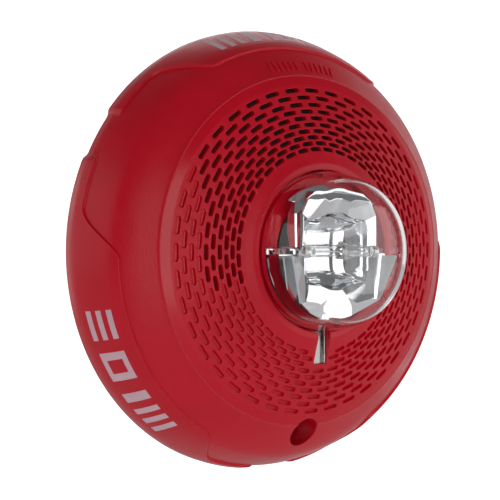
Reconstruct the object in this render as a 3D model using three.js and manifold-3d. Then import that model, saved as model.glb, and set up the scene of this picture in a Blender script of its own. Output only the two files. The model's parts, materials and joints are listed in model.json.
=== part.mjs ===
// Round wall-mounted horn strobe: a red domed sounder head with a clear lens and a
// flash-tube reflector at its centre, on a wiring plate that is screwed to a wall box.
// Millimetres. +Z is up on the wall, the head faces -Y, and the origin is the centre of
// the plate's back face. "Depth" below is the distance in front of the wall, so y = -depth.
import * as THREE from "three";
import { mergeVertices } from "three/addons/utils/BufferGeometryUtils.js";
import Module from "manifold-3d";

const wasm = await Module();
wasm.setup();

// ---- driving dimensions -------------------------------------------------------------
const DOME_R = 85.35; // radius of the dome at its rim, under the label band
const COVER_BACK = 1.0; // gap between the cover's rim and the wall
const FACE_R = 66.1, FACE_D = 32.5; // crease where the domed side meets the flat ring
const RING_R = 62.4, RING_D = 34.1; // inside edge of the flat ring, start of the grille
const HUB_R = 35.6, HUB_D = 41.4; // inside edge of the grille cone
const LENS_R = 30, LENS_TOP = 65;
const BAND = 0.8; // how far the label band stands proud of the dome
const NOTCH = 1.2; // how deep the three finger notches are cut into the band
const WAIST = [150, 30, 270]; // angles of the notches, where the band is lowest
const SLOT_RINGS = [60.4, 57.6, 54.9, 52.3, 49.75, 47.3, 44.85, 42.5, 40.25, 38.05];
const SLOTS_PER_RING = 40;
const SLOT_W = 1.55;
const HORN_X = 50.4, HORN_Z = -11.2; // the slots above and between these lines are open
const SCREW_Z = -69, SCREW_BORE = 5.6;
const PLATE_R = 81, PLATE_T = 2.4, PLATE_RIM = 7.5;
const HINGE_Z = 81.5, HINGE_D = 2.5; // the edge that the head hooks on and swings about
const HOOK_X = 12, HOOK_W = 8;
const HOUSING_R = 76.4, HOUSING_D = 12, HOUSING_T = 2;
const PCB_R = 71, PCB_D = 18, PCB_T = 1.6;
const HORN_C = 38; // centre height of the sounder
const TUBE_D = 51, TUBE_R = 2;
const POINTER_Z = -31, POINTER_TRAVEL = 9;
const HOUSING_SCREWS = [[62, 12], [-62, 12], [38, -51], [-38, -51]];
const TERMINAL_X = [-18, -6, 6, 18];
const TERMINAL_Z = 28, CONTACT_Z = 18;
const KNOB_X = 34, KNOB_Z = -14;

// ---- solids -------------------------------------------------------------------------
// A closed three.js geometry as a manifold solid with its faces pointing out.
function solid(geometry) {
  const g = (geometry.index ? geometry.toNonIndexed() : geometry.clone());
  g.deleteAttribute("normal");
  g.deleteAttribute("uv");
  const m = mergeVertices(g, 1e-4);
  const make = (tri) => new wasm.Manifold(new wasm.Mesh({ numProp: 3, vertProperties: new Float32Array(m.attributes.position.array), triVerts: tri }));
  const tri = new Uint32Array(m.index.array);
  const s = make(tri);
  if (s.volume() >= 0) return s;
  for (let i = 0; i < tri.length; i += 3) [tri[i + 1], tri[i + 2]] = [tri[i + 2], tri[i + 1]];
  return make(tri);
}

const box = (x0, x1, d0, d1, z0, z1) => {
  const g = new THREE.BoxGeometry(x1 - x0, d1 - d0, z1 - z0);
  g.translate((x0 + x1) / 2, -(d0 + d1) / 2, (z0 + z1) / 2);
  return solid(g);
};
// Cylinder or cone whose axis runs front to back.
const rod = (r, d0, d1, x = 0, z = 0, seg = 24, r1 = r) => {
  const g = new THREE.CylinderGeometry(r, r1, d1 - d0, seg); // radiusTop is at +y, the wall side
  g.translate(x, -(d0 + d1) / 2, z);
  return solid(g);
};
// Cylinder along X.
const bar = (r, x0, x1, d, z, seg = 16) => {
  const g = new THREE.CylinderGeometry(r, r, x1 - x0, seg);
  g.rotateZ(Math.PI / 2);
  g.translate((x0 + x1) / 2, -d, z);
  return solid(g);
};
// Cylinder along Z.
const post = (r, z0, z1, x, d, seg = 20) => {
  const g = new THREE.CylinderGeometry(r, r, z1 - z0, seg);
  g.rotateX(Math.PI / 2);
  g.translate(x, -d, (z0 + z1) / 2);
  return solid(g);
};
// Solid of revolution about the front-to-back axis, from [radius, depth] pairs.
const turned = (profile, seg = 40, phase = 0) => {
  const g = new THREE.LatheGeometry(profile.map(([r, d]) => new THREE.Vector2(r, -d)), seg, phase);
  return solid(g);
};
const ringOf = (r0, r1, d0, d1, x = 0, z = 0, seg = 32) =>
  rod(r1, d0, d1, x, z, seg).subtract(rod(r0, d0 - 1, d1 + 1, x, z, seg));
// Flat plate from an outline of [x, z] points.
const slab = (points, d0, d1) => {
  const shape = new THREE.Shape(points.map(([x, z]) => new THREE.Vector2(x, z)));
  const g = new THREE.ExtrudeGeometry(shape, { depth: d1 - d0, bevelEnabled: false });
  g.rotateX(Math.PI / 2); // the shape's y becomes +z, and its depth runs towards -y
  g.translate(0, -d0, 0);
  return solid(g);
};
// Round wire along points of [x, depth, z].
const wire = (points, r, sides = 6, steps = 12) => {
  const curve = new THREE.CatmullRomCurve3(points.map(([x, d, z]) => new THREE.Vector3(x, -d, z)), false, "centripetal");
  const s = new THREE.Shape();
  for (let i = 0; i < sides; i++) {
    const a = (2 * Math.PI * i) / sides;
    i ? s.lineTo(r * Math.cos(a), r * Math.sin(a)) : s.moveTo(r, 0);
  }
  s.closePath();
  return solid(new THREE.ExtrudeGeometry(s, { steps, extrudePath: curve, bevelEnabled: false }));
};
const join = (...parts) => parts.reduce((a, b) => a.add(b));
const cut = (a, ...tools) => tools.reduce((s, t) => s.subtract(t), a);
const at = (s, x, d, z) => s.translate([x, -d, z]);
const spin = (s, degrees) => s.rotate([0, -degrees, 0]); // positive turns +X towards +Z

const RED = 0xb01020, BLACK = 0x17181a, WHITE = 0xe9e9e4;
const material = (color, roughness, metalness = 0, extra = {}) => new THREE.MeshStandardMaterial({ color, roughness, metalness, ...extra });
const root = new THREE.Group();
const plate = new THREE.Group(), head = new THREE.Group();
root.add(plate, head);

function mesh(group, name, s, mat, place = null) {
  const m = s.getMesh();
  const n = m.numProp;
  const v = new Float32Array(m.numVert * 3);
  for (let i = 0; i < m.numVert; i++) v.set(m.vertProperties.subarray(i * n, i * n + 3), i * 3);
  const g = new THREE.BufferGeometry();
  g.setAttribute("position", new THREE.BufferAttribute(v, 3));
  g.setIndex(new THREE.BufferAttribute(new Uint32Array(m.triVerts), 1));
  const o = new THREE.Mesh(g, mat);
  o.name = name;
  if (place) o.position.set(place[0], -place[1], place[2]);
  group.add(o);
  return o;
}

// ---- front cover --------------------------------------------------------------------
// The domed side as a curve from the rim to the crease.
const v2 = (r, d) => new THREE.Vector2(r, d);
const DOME = new THREE.CurvePath();
DOME.add(new THREE.LineCurve(v2(DOME_R, COVER_BACK), v2(DOME_R, 5)));
DOME.add(new THREE.CubicBezierCurve(v2(DOME_R, 5), v2(DOME_R, 6.6), v2(83.5, 13.5), v2(80, 20.1)));
DOME.add(new THREE.CubicBezierCurve(v2(80, 20.1), v2(77.45, 25), v2(71.45, 28.45), v2(FACE_R, FACE_D)));
const DOME_LENGTH = DOME.getLength();
const along = (s) => Math.min(1, Math.max(0, s / DOME_LENGTH));
// A point of the side at an arc length from the rim, moved out along its normal.
const sidePoint = (s, off) => {
  const p = DOME.getPointAt(along(s)), t = DOME.getTangentAt(along(s));
  return [p.x + t.y * off, p.y - t.x * off];
};
const smooth = (a, b, x) => { const t = Math.min(1, Math.max(0, (x - a) / (b - a))); return t * t * (3 - 2 * t); };
const fromWaist = (angle) => Math.min(...WAIST.map((w) => Math.abs(((angle - w + 540) % 360) - 180)));
// How far up the side the band reaches: high at the three label panels and low between them.
const bandTop = (angle) => 8.2 + 16.7 * smooth(19, 32, fromWaist(angle));
const notch = (angle) => NOTCH * (1 - smooth(5.6, 7.0, fromWaist(angle)));
function sideRows(angle) {
  const top = bandTop(angle), proud = BAND - notch(angle), rest = DOME_LENGTH - top - 0.7;
  const rows = [0, 0.35, 0.72, 1].map((u) => sidePoint(top * u, proud));
  for (const u of [0, 0.25, 0.5, 0.75, 1]) rows.push(sidePoint(top + 0.7 + rest * u, 0));
  rows.push([RING_R, RING_D]);
  return rows;
}
function domeSolid(segments) {
  const pos = [], idx = [];
  const first = sideRows(0).length;
  for (let i = 0; i < segments; i++) {
    const a = (360 * i) / segments, c = Math.cos((a * Math.PI) / 180), s = Math.sin((a * Math.PI) / 180);
    for (const [r, d] of sideRows(a)) pos.push(r * c, -d, r * s);
  }
  const back = pos.length / 3; pos.push(0, -COVER_BACK, 0);
  const front = back + 1; pos.push(0, -RING_D, 0);
  for (let i = 0; i < segments; i++) {
    const a = i * first, b = ((i + 1) % segments) * first;
    for (let j = 0; j + 1 < first; j++) idx.push(a + j, b + j + 1, b + j, a + j, a + j + 1, b + j + 1);
    idx.push(back, a, b, front, b + first - 1, a + first - 1);
  }
  const g = new THREE.BufferGeometry();
  g.setAttribute("position", new THREE.Float32BufferAttribute(pos, 3));
  g.setIndex(idx);
  return solid(g);
}

function frontCover() {
  const half = Math.PI / SLOTS_PER_RING;
  const face = turned([[0, 32.5], [RING_R - 0.2, 32.5], [RING_R, RING_D], [HUB_R, HUB_D], [32.5, 42.4], [30.7, 42.4], [30.4, 38.4], [27.2, 38.4], [27.2, 40.2], [20.5, 40.6], [0, 40.6]], SLOTS_PER_RING, half);
  let cover = domeSolid(60).add(face);
  const hollow = turned([[0, -4], [83.2, -4], [83.2, 5], [81.7, 11], [77.9, 18.9], [72.2, 24.9], [64.7, 30.3], [61.9, 32], [36, 39.1], [31.7, 39.1], [31.7, 36.4], [26.4, 36.4], [26.4, 38.4], [0, 38.4]], SLOTS_PER_RING, half);
  cover = cut(cover, hollow, rod(20.5, 30, 45, 0, 0, 40));
  // screw well at the bottom, screw posts for the rear housing, and the two hooks
  const well = cut(rod(7.4, 14.3, 25, 0, SCREW_Z, 24), box(-9, 9, 13, 26, -90, -76.6));
  cover = join(cover, well);
  for (const [x, z] of HOUSING_SCREWS) cover = join(cover, rod(3.2, 14.4, 30, x, z, 16));
  for (const x of [-HOOK_X, HOOK_X]) cover = join(cover, box(x - HOOK_W / 2, x + HOOK_W / 2, 1.6, 3.3, 78.4, 84.2));
  cover = cut(cover, rod(SCREW_BORE, 16.3, 45, 0, SCREW_Z, 24), rod(2.3, 13, 18, 0, SCREW_Z, 16));
  for (const [x, z] of HOUSING_SCREWS) cover = cut(cover, rod(1.45, 13, 24, x, z, 10));
  // window slot under the lens, and the lens's three clip slots
  cover = cut(cover, box(-2.9, 2.9, 35, 46, -42.3, -28));
  for (const a of [90, 210, 330]) cover = cut(cover, spin(box(27.5, 30.2, 35, 39, -2.8, 2.8), a));
  // open sound slots
  const slots = [];
  SLOT_RINGS.forEach((r, row) => {
    const length = 4.9 + ((6.4 - 4.9) * (r - 38)) / 22.4;
    for (let k = 0; k < SLOTS_PER_RING; k++) {
      const a = (360 / SLOTS_PER_RING) * (k + (row % 2 ? 0.5 : 0));
      const x = r * Math.cos((a * Math.PI) / 180), z = r * Math.sin((a * Math.PI) / 180);
      if (Math.abs(x) < HORN_X && z > HORN_Z) slots.push(spin(box(r - SLOT_W / 2, r + SLOT_W / 2, 28, 43, -length / 2, length / 2), a));
    }
  });
  return cover.subtract(wasm.Manifold.union(slots));
}
mesh(head, "front_cover", frontCover(), material(RED, 0.5));

// ---- lens ---------------------------------------------------------------------------
let lens = turned([[27.9, 38.8], [29.9, 38.8], [LENS_R, 41], [29.6, 44], [28.9, 48.5], [27.9, 53], [26.7, 57], [25, 60], [21.8, 62.3], [16, 64], [8.5, 64.8], [0, LENS_TOP], [0, 63.2], [8, 63], [15, 62.3], [20.4, 60.8], [23.4, 58.6], [24.9, 56], [26.1, 52.4], [27, 48.2], [27.7, 44], [27.9, 41], [27.9, 38.8]], 36);
lens = join(lens, box(-2.55, 2.55, 37, 38.2, -41.9, -28.2), box(-2.55, 2.55, 37, 40, -29.6, -28.2));
for (const a of [90, 210, 330]) lens = join(lens, spin(box(28.1, 29.6, 34.6, 39.2, -2.4, 2.4), a), spin(box(28.1, 30.8, 34.6, 35.9, -2.4, 2.4), a));
mesh(head, "lens", lens, material(0xf4f7f8, 0.05, 0, { transparent: true, opacity: 0.3 }));

// ---- flash lamp ---------------------------------------------------------------------
// Reflector: a bulb with a dished front, a flange over its top, and a wide lower half.
const arc = (r, a0, a1, n) => Array.from({ length: n + 1 }, (_, i) => {
  const a = ((a0 + ((a1 - a0) * i) / n) * Math.PI) / 180;
  return [r * Math.cos(a), r * Math.sin(a)];
});
const lowerHalf = slab([[-25.4, -0.4], ...arc(25.4, 182, 222, 4), ...arc(24.6, 228, 312, 6), ...arc(25.4, 318, 358, 4), [25.4, -0.4]], 45, 51.5);
const upperLobe = slab([[-15.5, -1], [15.5, -1], [15.5, 13], ...arc(20.3, 42, 138, 8), [-15.5, 13]], 45, 52.2);
const topFlange = slab([...arc(26.4, 42.5, 137.5, 8)], 45, 46.4);
let reflector = join(lowerHalf, upperLobe, topFlange, turned([[0, 33.6], [14.8, 33.6], [14.8, 42.8], [19, 45.2], [0, 45.2]], 24));
const bowl = new THREE.SphereGeometry(1, 16, 10);
bowl.scale(14.2, 15, 19);
bowl.translate(0, -54.5, 0);
const bowlLow = new THREE.SphereGeometry(1, 16, 10);
bowlLow.scale(22.5, 7.5, 21);
bowlLow.translate(0, -52.5, 0);
reflector = cut(reflector, solid(bowl), solid(bowlLow).intersect(box(-30, 30, 40, 60, -30, -1.2)), bar(2.7, -17, 17, TUBE_D, 0), box(-17, 17, TUBE_D, 60, -2.7, 2.7), rod(0.9, 30, 50, 0, 0, 8));
// notches that the tube's caps and leads pass through
for (const side of [-1, 1]) reflector = cut(reflector, box(Math.min(16.4 * side, 19.8 * side), Math.max(16.4 * side, 19.8 * side), 44, 54, -2.7, 2.7));
mesh(head, "reflector", reflector, material(0xd8dadd, 0.12, 1));

// Clear carrier that stands on the circuit board and holds the reflector.
let carrier = join(
  ringOf(11, 13, PCB_D + PCB_T + 0.3, 31.7, 0, 0, 24),
  cut(rod(17, 31.5, 42.3, 0, 0, 28), rod(15.2, 33.2, 46, 0, 0, 28)),
  slab([[-25.6, 1.4], ...arc(25.7, 183, 357, 16), [25.6, 1.4]], 41, 42.3).subtract(rod(16, 40, 44, 0, 0, 28)));
carrier = cut(carrier, rod(0.9, 30, 36, 0, 0, 8), slab([[-30, -17.2], [-17.2, -30], [17.2, -30], [30, -17.2], [30, -40], [-30, -40]], 40, 43));
for (const x of [-18.8, 18.8]) carrier = cut(carrier, box(x - 1.2, x + 1.2, 40, 43, -2, 3));
mesh(head, "lamp_carrier", carrier, material(0xf2f5f6, 0.08, 0, { transparent: true, opacity: 0.35 }));

mesh(head, "flash_tube", bar(TUBE_R, -14.6, 14.6, TUBE_D, 0, 20), material(0xf6f8fa, 0.05, 0, { transparent: true, opacity: 0.35 }));
for (const [name, side] of [["tube_electrode_left", -1], ["tube_electrode_right", 1]]) {
  const cap = side < 0 ? bar(2.2, -17.2, -14.9, TUBE_D, 0, 14) : bar(2.2, 14.9, 17.2, TUBE_D, 0, 14);
  const lead = wire([[16.8 * side, TUBE_D, 0], [18.4 * side, TUBE_D - 0.6, 0.5], [18.8 * side, 48, 1.4], [18.8 * side, 44, 1.6], [18.8 * side, 36, 1.6], [18.8 * side, PCB_D + PCB_T + 0.3, 1.6]], 0.45, 6, 14);
  mesh(head, name, join(cap, lead), material(0xb9bcc0, 0.3, 1));
}
const band = bar(2.85, -1, 1, TUBE_D, 0, 20).subtract(bar(2.3, -2, 2, TUBE_D, 0, 20));
mesh(head, "trigger_wire", join(band, rod(0.4, PCB_D + PCB_T + 0.3, TUBE_D - 2.5, 0, 0, 8)), material(0xc2c5c9, 0.3, 1));

// ---- electronics --------------------------------------------------------------------
let board = rod(PCB_R, PCB_D, PCB_D + PCB_T, 0, 0, 48);
board = cut(board, rod(8.2, 17, 21, 0, SCREW_Z, 20), box(0.5, 3, 17, 21, -43, -28));
for (const [x, z] of HOUSING_SCREWS) board = cut(board, rod(3.8, 17, 21, x, z, 16));
mesh(head, "circuit_board", board, material(0x1d6b3c, 0.55));

const BOARD = PCB_D + PCB_T + 0.3;
let capacitor = post(6, -14, 14, 0, 0, 24).subtract(ringOfZ());
function ringOfZ() { return post(7, 9.6, 10.6, 0, 0, 24).subtract(post(5.5, 9, 11, 0, 0, 24)); }
mesh(head, "flash_capacitor", capacitor, material(0x22304a, 0.4), [-36, BOARD + 6.2, -18]);
mesh(head, "power_inductor", join(rod(8, 0, 1.6, 0, 0, 20), rod(5.5, 1.4, 7.8, 0, 0, 20), rod(8, 7.6, 9.2, 0, 0, 20)), material(0x3a3330, 0.6), [34, BOARD, -24]);
mesh(head, "trigger_coil", join(box(-5.5, 5.5, 0, 1.4, -4.5, 4.5), rod(4.2, 1.2, 9, 0, 0, 18)), material(0xb98a2c, 0.5), [20, BOARD, -42]);
mesh(head, "controller_chip", box(-4.6, 4.6, 0, 1.5, -4.6, 4.6), material(0x1b1c1e, 0.6), [46, BOARD, -2]);
mesh(head, "bridge_rectifier", box(-4, 4, 0, 2.6, -3.2, 3.2), material(0x1b1c1e, 0.6), [-20, BOARD, -44]);
mesh(head, "sounder_driver_chip", box(-5, 5, 0, 1.6, -3.2, 3.2), material(0x1b1c1e, 0.6), [-38, BOARD, 24]);
TERMINAL_X.forEach((x, i) => mesh(head, `contact_blade_${i + 1}`, join(box(-1.8, 1.8, -12.7, -0.3, -0.4, 0.4), box(-2.6, 2.6, -1.3, -0.3, -1.2, 1.2)), material(0xc9a24a, 0.3, 1), [x, PCB_D, CONTACT_Z]));

// ---- sounder ------------------------------------------------------------------------
let chamber = turned([[0, BOARD], [20.5, BOARD], [20.5, 30.2], [18.9, 30.2], [18.9, 23], [16.6, 23], [16.6, 21.5], [0, 21.5]], 32);
chamber = chamber.translate([0, 0, HORN_C]);
chamber = cut(chamber, box(-4.6, -3.4, 19, 24, HORN_C - 1, HORN_C + 1), box(3.4, 4.6, 19, 24, HORN_C - 1, HORN_C + 1));
mesh(head, "horn_chamber", chamber, material(BLACK, 0.55));
mesh(head, "piezo_plate", rod(18.4, 23.3, 23.6, 0, HORN_C, 32), material(0xc8a24c, 0.35, 1));
mesh(head, "piezo_ceramic", rod(12.5, 22.5, 23, 0, HORN_C, 32), material(0xdcdcd6, 0.5));
mesh(head, "horn_gasket", ringOf(18.9, 20.5, 30.5, 31.2, 0, HORN_C, 32), material(0x202224, 0.95));
for (const [name, x] of [["piezo_contact_left", -4], ["piezo_contact_right", 4]])
  mesh(head, name, box(x - 0.3, x + 0.3, BOARD, 22.2, HORN_C - 0.6, HORN_C + 0.6), material(0xc9a24a, 0.3, 1));

// ---- rear housing and its screws ----------------------------------------------------
let housing = turned([[0, HOUSING_D], [HOUSING_R, HOUSING_D], [HOUSING_R, 17], [HOUSING_R - 2, 17], [HOUSING_R - 2, HOUSING_D + HOUSING_T], [0, HOUSING_D + HOUSING_T]], 48);
for (const [x, z] of [[52, 34], [-52, 34], [58, -22], [-58, -22]]) housing = join(housing, rod(2.4, 13.5, PCB_D - 0.3, x, z, 12));
housing = join(housing, rod(2, 9.4, 12.5, 0, 9.5, 12));
housing = cut(housing, rod(7.9, 10, 18, 0, SCREW_Z, 20), box(-7.9, 7.9, 10, 18, -80, SCREW_Z), rod(4.9, 10, 16, KNOB_X, KNOB_Z, 24), box(-2.9, 2.9, 10, 16, -43.4, -27.6));
for (const [x, z] of HOUSING_SCREWS) housing = cut(housing, rod(1.7, 10, 16, x, z, 12), rod(3.4, 10, 12.8, x, z, 16));
for (const x of TERMINAL_X) housing = cut(housing, box(x - 2.3, x + 2.3, 10, 16, CONTACT_Z - 0.9, CONTACT_Z + 0.9));
mesh(head, "rear_housing", housing, material(BLACK, 0.6));
HOUSING_SCREWS.forEach(([x, z], i) => {
  const screw = join(rod(2.9, 0, 2, 0, 0, 16), rod(1.05, 1.8, 9.5, 0, 0, 10)).subtract(join(box(-1.9, 1.9, -1, 0.9, -0.35, 0.35), box(-0.35, 0.35, -1, 0.9, -1.9, 1.9)));
  mesh(head, `housing_screw_${i + 1}`, screw, material(0xb4b7bb, 0.35, 1), [x, 10.5, z]);
});

// ---- tone and volume switch ---------------------------------------------------------
const switchBody = cut(box(KNOB_X - 6, KNOB_X + 6, 14.4, PCB_D - 0.3, KNOB_Z - 6, KNOB_Z + 6), rod(4.9, 13, 16.2, KNOB_X, KNOB_Z, 24));
mesh(head, "tone_switch_body", switchBody, material(0x2a3b57, 0.5));
let knob = rod(4.5, 0, 4.6, 0, 0, 24);
knob = cut(knob, box(-3.4, 3.4, -1, 1.4, -0.6, 0.6), box(-1.5, 1.5, -1, 0.7, 2.2, 6));
mesh(head, "tone_knob", knob, material(WHITE, 0.5), [KNOB_X, 11.3, KNOB_Z]);

// ---- light-level selector -----------------------------------------------------------
const guide = cut(box(-8, 8, 14.4, PCB_D - 0.3, -48, -22.5), box(-5.4, 5.4, 14, 17, -46.2, -24.8), box(0.5, 3, 14, 19, -43, -28), box(-3.2, 3.2, 14, 17, -46.2, -24.8));
mesh(head, "level_switch_body", guide, material(0x2a3b57, 0.5));
const slider = join(
  box(-5, 5, 14.7, 16.6, -3.4, 3.4),
  box(-2.5, 2.5, 11.2, 15, -2.2, 2.2),
  box(0.9, 2.3, 16, 36.3, -0.8, 0.8),
  box(-2.1, 2.3, 35.7, 36.5, -0.8, 0.8));
mesh(head, "level_slider", slider, material(BLACK, 0.5), [0, 0, POINTER_Z]);
mesh(head, "level_scale", join(box(-2.4, 0.4, 34.7, 35.3, -44.6, -29.6), box(-2.4, 0.4, BOARD, 35, -44.6, -43.6)), material(WHITE, 0.5));

// ---- captive mounting screw ---------------------------------------------------------
const mountScrew = cut(join(rod(4, 16.6, 18.4, 0, 0, 20), rod(3.2, 18.3, 19.3, 0, 0, 20), rod(1.75, 4, 17, 0, 0, 12)), box(-2.2, 2.2, 17.6, 21, -0.45, 0.45), box(-0.45, 0.45, 17.6, 21, -2.2, 2.2));
mesh(head, "mounting_screw", mountScrew, material(0xb4b7bb, 0.35, 1), [0, 0, SCREW_Z]);
mesh(head, "retaining_washer", ringOf(2.15, 4, 8.5, 9.2, 0, 0, 16), material(BLACK, 0.7), [0, 0, SCREW_Z]);

// ---- wiring plate -------------------------------------------------------------------
let base = turned([[0, 0], [PLATE_R, 0], [PLATE_R, PLATE_RIM], [PLATE_R - 2, PLATE_RIM], [PLATE_R - 2, PLATE_T], [0, PLATE_T]], 60);
base = join(base, rod(5, 1, 8.1, 0, SCREW_Z, 20), box(-1.2, 1.2, 1, 6.5, -80, SCREW_Z - 4.5));
for (const x of [-26.5, 26.5]) base = join(base, box(x - 1.2, x + 1.2, 1, 7, 12, 36));
for (const x of [-HOOK_X, HOOK_X]) base = cut(base, box(x - HOOK_W / 2 - 0.6, x + HOOK_W / 2 + 0.6, 1.1, 5.1, 77.5, 84));
for (const x of [-HOOK_X, HOOK_X]) base = cut(base, box(x - HOOK_W / 2 - 0.6, x + HOOK_W / 2 + 0.6, 1.1, 5.1, 76.5, 79.2));
base = cut(base, rod(3.3, 2.9, 10, 0, SCREW_Z, 16)); // seat of the threaded insert
base = cut(base, box(-20, 20, -1, 4, -34, -4)); // cable opening
const slotHole = (x, z, horizontal) => {
  const l = x === 0 ? 3 : 4;
  const s = join(rod(2.3, -1, 4, x - (horizontal ? l : 0), z - (horizontal ? 0 : l), 12), rod(2.3, -1, 4, x + (horizontal ? l : 0), z + (horizontal ? 0 : l), 12),
    horizontal ? box(x - l, x + l, -1, 4, z - 2.3, z + 2.3) : box(x - 2.3, x + 2.3, -1, 4, z - l, z + l));
  return s;
};
for (const [x, z, h] of [[44.45, 0, true], [-44.45, 0, true], [0, 41.65, false], [0, -41.65, false], [41.3, -41.3, true], [-41.3, -41.3, true], [41.3, 41.3, true], [-41.3, 41.3, true]]) base = cut(base, slotHole(x, z, h));
mesh(plate, "mounting_plate", base, material(0xe8e8e4, 0.6));
mesh(plate, "threaded_insert", ringOf(2.15, 3, 3.2, 8, 0, 0, 16), material(0xc8a24c, 0.35, 1), [0, 0, SCREW_Z]);

// ---- terminals ----------------------------------------------------------------------
let block = box(-25, 25, PLATE_T + 0.3, 8.6, 13, 35);
for (const x of TERMINAL_X) block = cut(block, box(x - 4.4, x + 4.4, 6.9, 10, 23.4, 36), rod(1.9, 3.4, 8, x, TERMINAL_Z, 12), box(x - 2.7, x + 2.7, 3.6, 10, CONTACT_Z - 1.3, CONTACT_Z + 1.3));
mesh(plate, "terminal_block", block, material(0xdad8cf, 0.55));
TERMINAL_X.forEach((x, i) => {
  const clamp = cut(box(-4, 4, 0, 1, -4, 4), rod(1.9, -1, 2, 0, 0, 12));
  mesh(plate, `terminal_clamp_${i + 1}`, clamp, material(0xc9a24a, 0.35, 1), [x, 7.2, TERMINAL_Z]);
  const screw = join(rod(3.1, 8.5, 10.3, 0, 0, 16), rod(1.6, 3.8, 8.7, 0, 0, 10)).subtract(join(box(-3.4, 3.4, 9.6, 11, -0.4, 0.4), box(-0.4, 0.4, 9.6, 11, -2, 2)));
  mesh(plate, `terminal_screw_${i + 1}`, screw, material(0xb4b7bb, 0.35, 1), [x, 0, TERMINAL_Z]);
});
mesh(plate, "shorting_spring", join(box(-8, 8, PLATE_T + 0.3, 3.2, 7, 12), box(-1.6, 1.6, 3, 8.7, 7, 7.6), box(-1.6, 1.6, 8.2, 8.7, 7, 11.5)), material(0xc9a24a, 0.3, 1));

export default root;
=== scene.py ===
import json
import math

import bmesh
import bpy
import numpy as np
from mathutils import Matrix, Vector

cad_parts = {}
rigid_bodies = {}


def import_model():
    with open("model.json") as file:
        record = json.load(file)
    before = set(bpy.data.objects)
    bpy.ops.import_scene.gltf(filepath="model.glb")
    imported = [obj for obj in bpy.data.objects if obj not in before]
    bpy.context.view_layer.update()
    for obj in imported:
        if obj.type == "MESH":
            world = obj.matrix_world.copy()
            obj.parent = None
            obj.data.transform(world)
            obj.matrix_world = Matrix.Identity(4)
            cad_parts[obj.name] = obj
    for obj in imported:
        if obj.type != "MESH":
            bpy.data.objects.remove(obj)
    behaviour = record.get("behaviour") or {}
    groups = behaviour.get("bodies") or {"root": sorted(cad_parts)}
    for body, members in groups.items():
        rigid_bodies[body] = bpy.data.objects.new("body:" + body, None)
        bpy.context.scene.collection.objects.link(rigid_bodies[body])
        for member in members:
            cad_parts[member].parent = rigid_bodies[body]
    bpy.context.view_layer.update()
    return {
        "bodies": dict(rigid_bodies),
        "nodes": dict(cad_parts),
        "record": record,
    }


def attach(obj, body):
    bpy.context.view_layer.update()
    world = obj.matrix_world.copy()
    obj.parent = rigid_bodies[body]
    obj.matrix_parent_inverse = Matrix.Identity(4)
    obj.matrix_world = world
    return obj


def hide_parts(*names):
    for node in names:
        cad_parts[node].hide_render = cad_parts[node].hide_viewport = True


# Round red wall-mounted horn strobe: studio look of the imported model. Lengths are written in
# millimetres as (x, depth in front of the wall, z) and turned into the row frame by to_frame().
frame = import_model()
SCENE = bpy.context.scene
MM = 0.001
rng = np.random.default_rng(7)


# ---- meshes -------------------------------------------------------------------------
def to_frame(points):
    a = np.asarray(points, float).reshape(-1, 3)
    return np.column_stack([a[:, 0], -a[:, 1], a[:, 2]]) * MM


def make(name, points, faces, outward=True):
    me = bpy.data.meshes.new(name)
    me.from_pydata(to_frame(points).tolist(), [], [list(map(int, f)) for f in faces])
    if outward:
        bm = bmesh.new()
        bm.from_mesh(me)
        bmesh.ops.recalc_face_normals(bm, faces=bm.faces)
        bm.to_mesh(me)
        bm.free()
    ob = bpy.data.objects.new(name, me)
    SCENE.collection.objects.link(ob)
    return ob


def settle(ob):
    """Puts the object's modifiers into its mesh."""
    dg = bpy.context.evaluated_depsgraph_get()
    me = bpy.data.meshes.new_from_object(ob.evaluated_get(dg))
    old = ob.data
    ob.modifiers.clear()
    ob.data = me
    if old.users == 0:
        bpy.data.meshes.remove(old)
    return ob


def boolean(a, b, how):
    m = a.modifiers.new("b", "BOOLEAN")
    m.object, m.operation, m.solver = b, how, "MANIFOLD"
    settle(a)
    me = b.data
    bpy.data.objects.remove(b)
    if me.users == 0:
        bpy.data.meshes.remove(me)
    return a


def join(a, *others):
    for b in others:
        boolean(a, b, "UNION")
    return a


def cut(a, *others):
    for b in others:
        boolean(a, b, "DIFFERENCE")
    return a


def lathe(profile, seg=128, x=0.0, z=0.0, name="lathe"):
    """Solid of revolution about the front-to-back axis. A profile that starts and ends on the axis is closed by it; any other is closed on itself."""
    pts, rings = [], []
    ang = np.arange(seg) * 2 * math.pi / seg
    for r, d in profile:
        if r < 1e-9:
            rings.append([len(pts)])
            pts.append((x, d, z))
        else:
            rings.append(list(range(len(pts), len(pts) + seg)))
            pts += [(x + r * math.cos(t), d, z + r * math.sin(t)) for t in ang]
    pairs = list(zip(rings, rings[1:]))
    if len(rings[0]) > 1 and len(rings[-1]) > 1:
        pairs.append((rings[-1], rings[0]))
    faces = []
    for a, b in pairs:
        for i in range(seg):
            j = (i + 1) % seg
            if len(a) == 1 and len(b) == 1:
                break
            if len(a) == 1:
                faces.append((a[0], b[i], b[j]))
            elif len(b) == 1:
                faces.append((a[i], b[0], a[j]))
            else:
                faces.append((a[i], b[i], b[j], a[j]))
    return make(name, pts, faces)


def rod(r, d0, d1, x=0.0, z=0.0, seg=64, r1=None):
    r1 = r if r1 is None else r1
    return lathe([(0, d0), (r, d0), (r1, d1), (0, d1)], seg, x, z, "rod")


def soft_rod(r, d0, d1, x=0.0, z=0.0, seg=64, e=0.3):
    """A rod whose two rims are rounded by e."""
    p = [(0, d0)]
    p += [(r - e + e * math.sin(t), d0 + e - e * math.cos(t)) for t in np.linspace(0, math.pi / 2, 5)]
    p += [(r - e + e * math.cos(t), d1 - e + e * math.sin(t)) for t in np.linspace(0, math.pi / 2, 5)]
    return lathe(p + [(0, d1)], seg, x, z, "rod")


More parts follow.
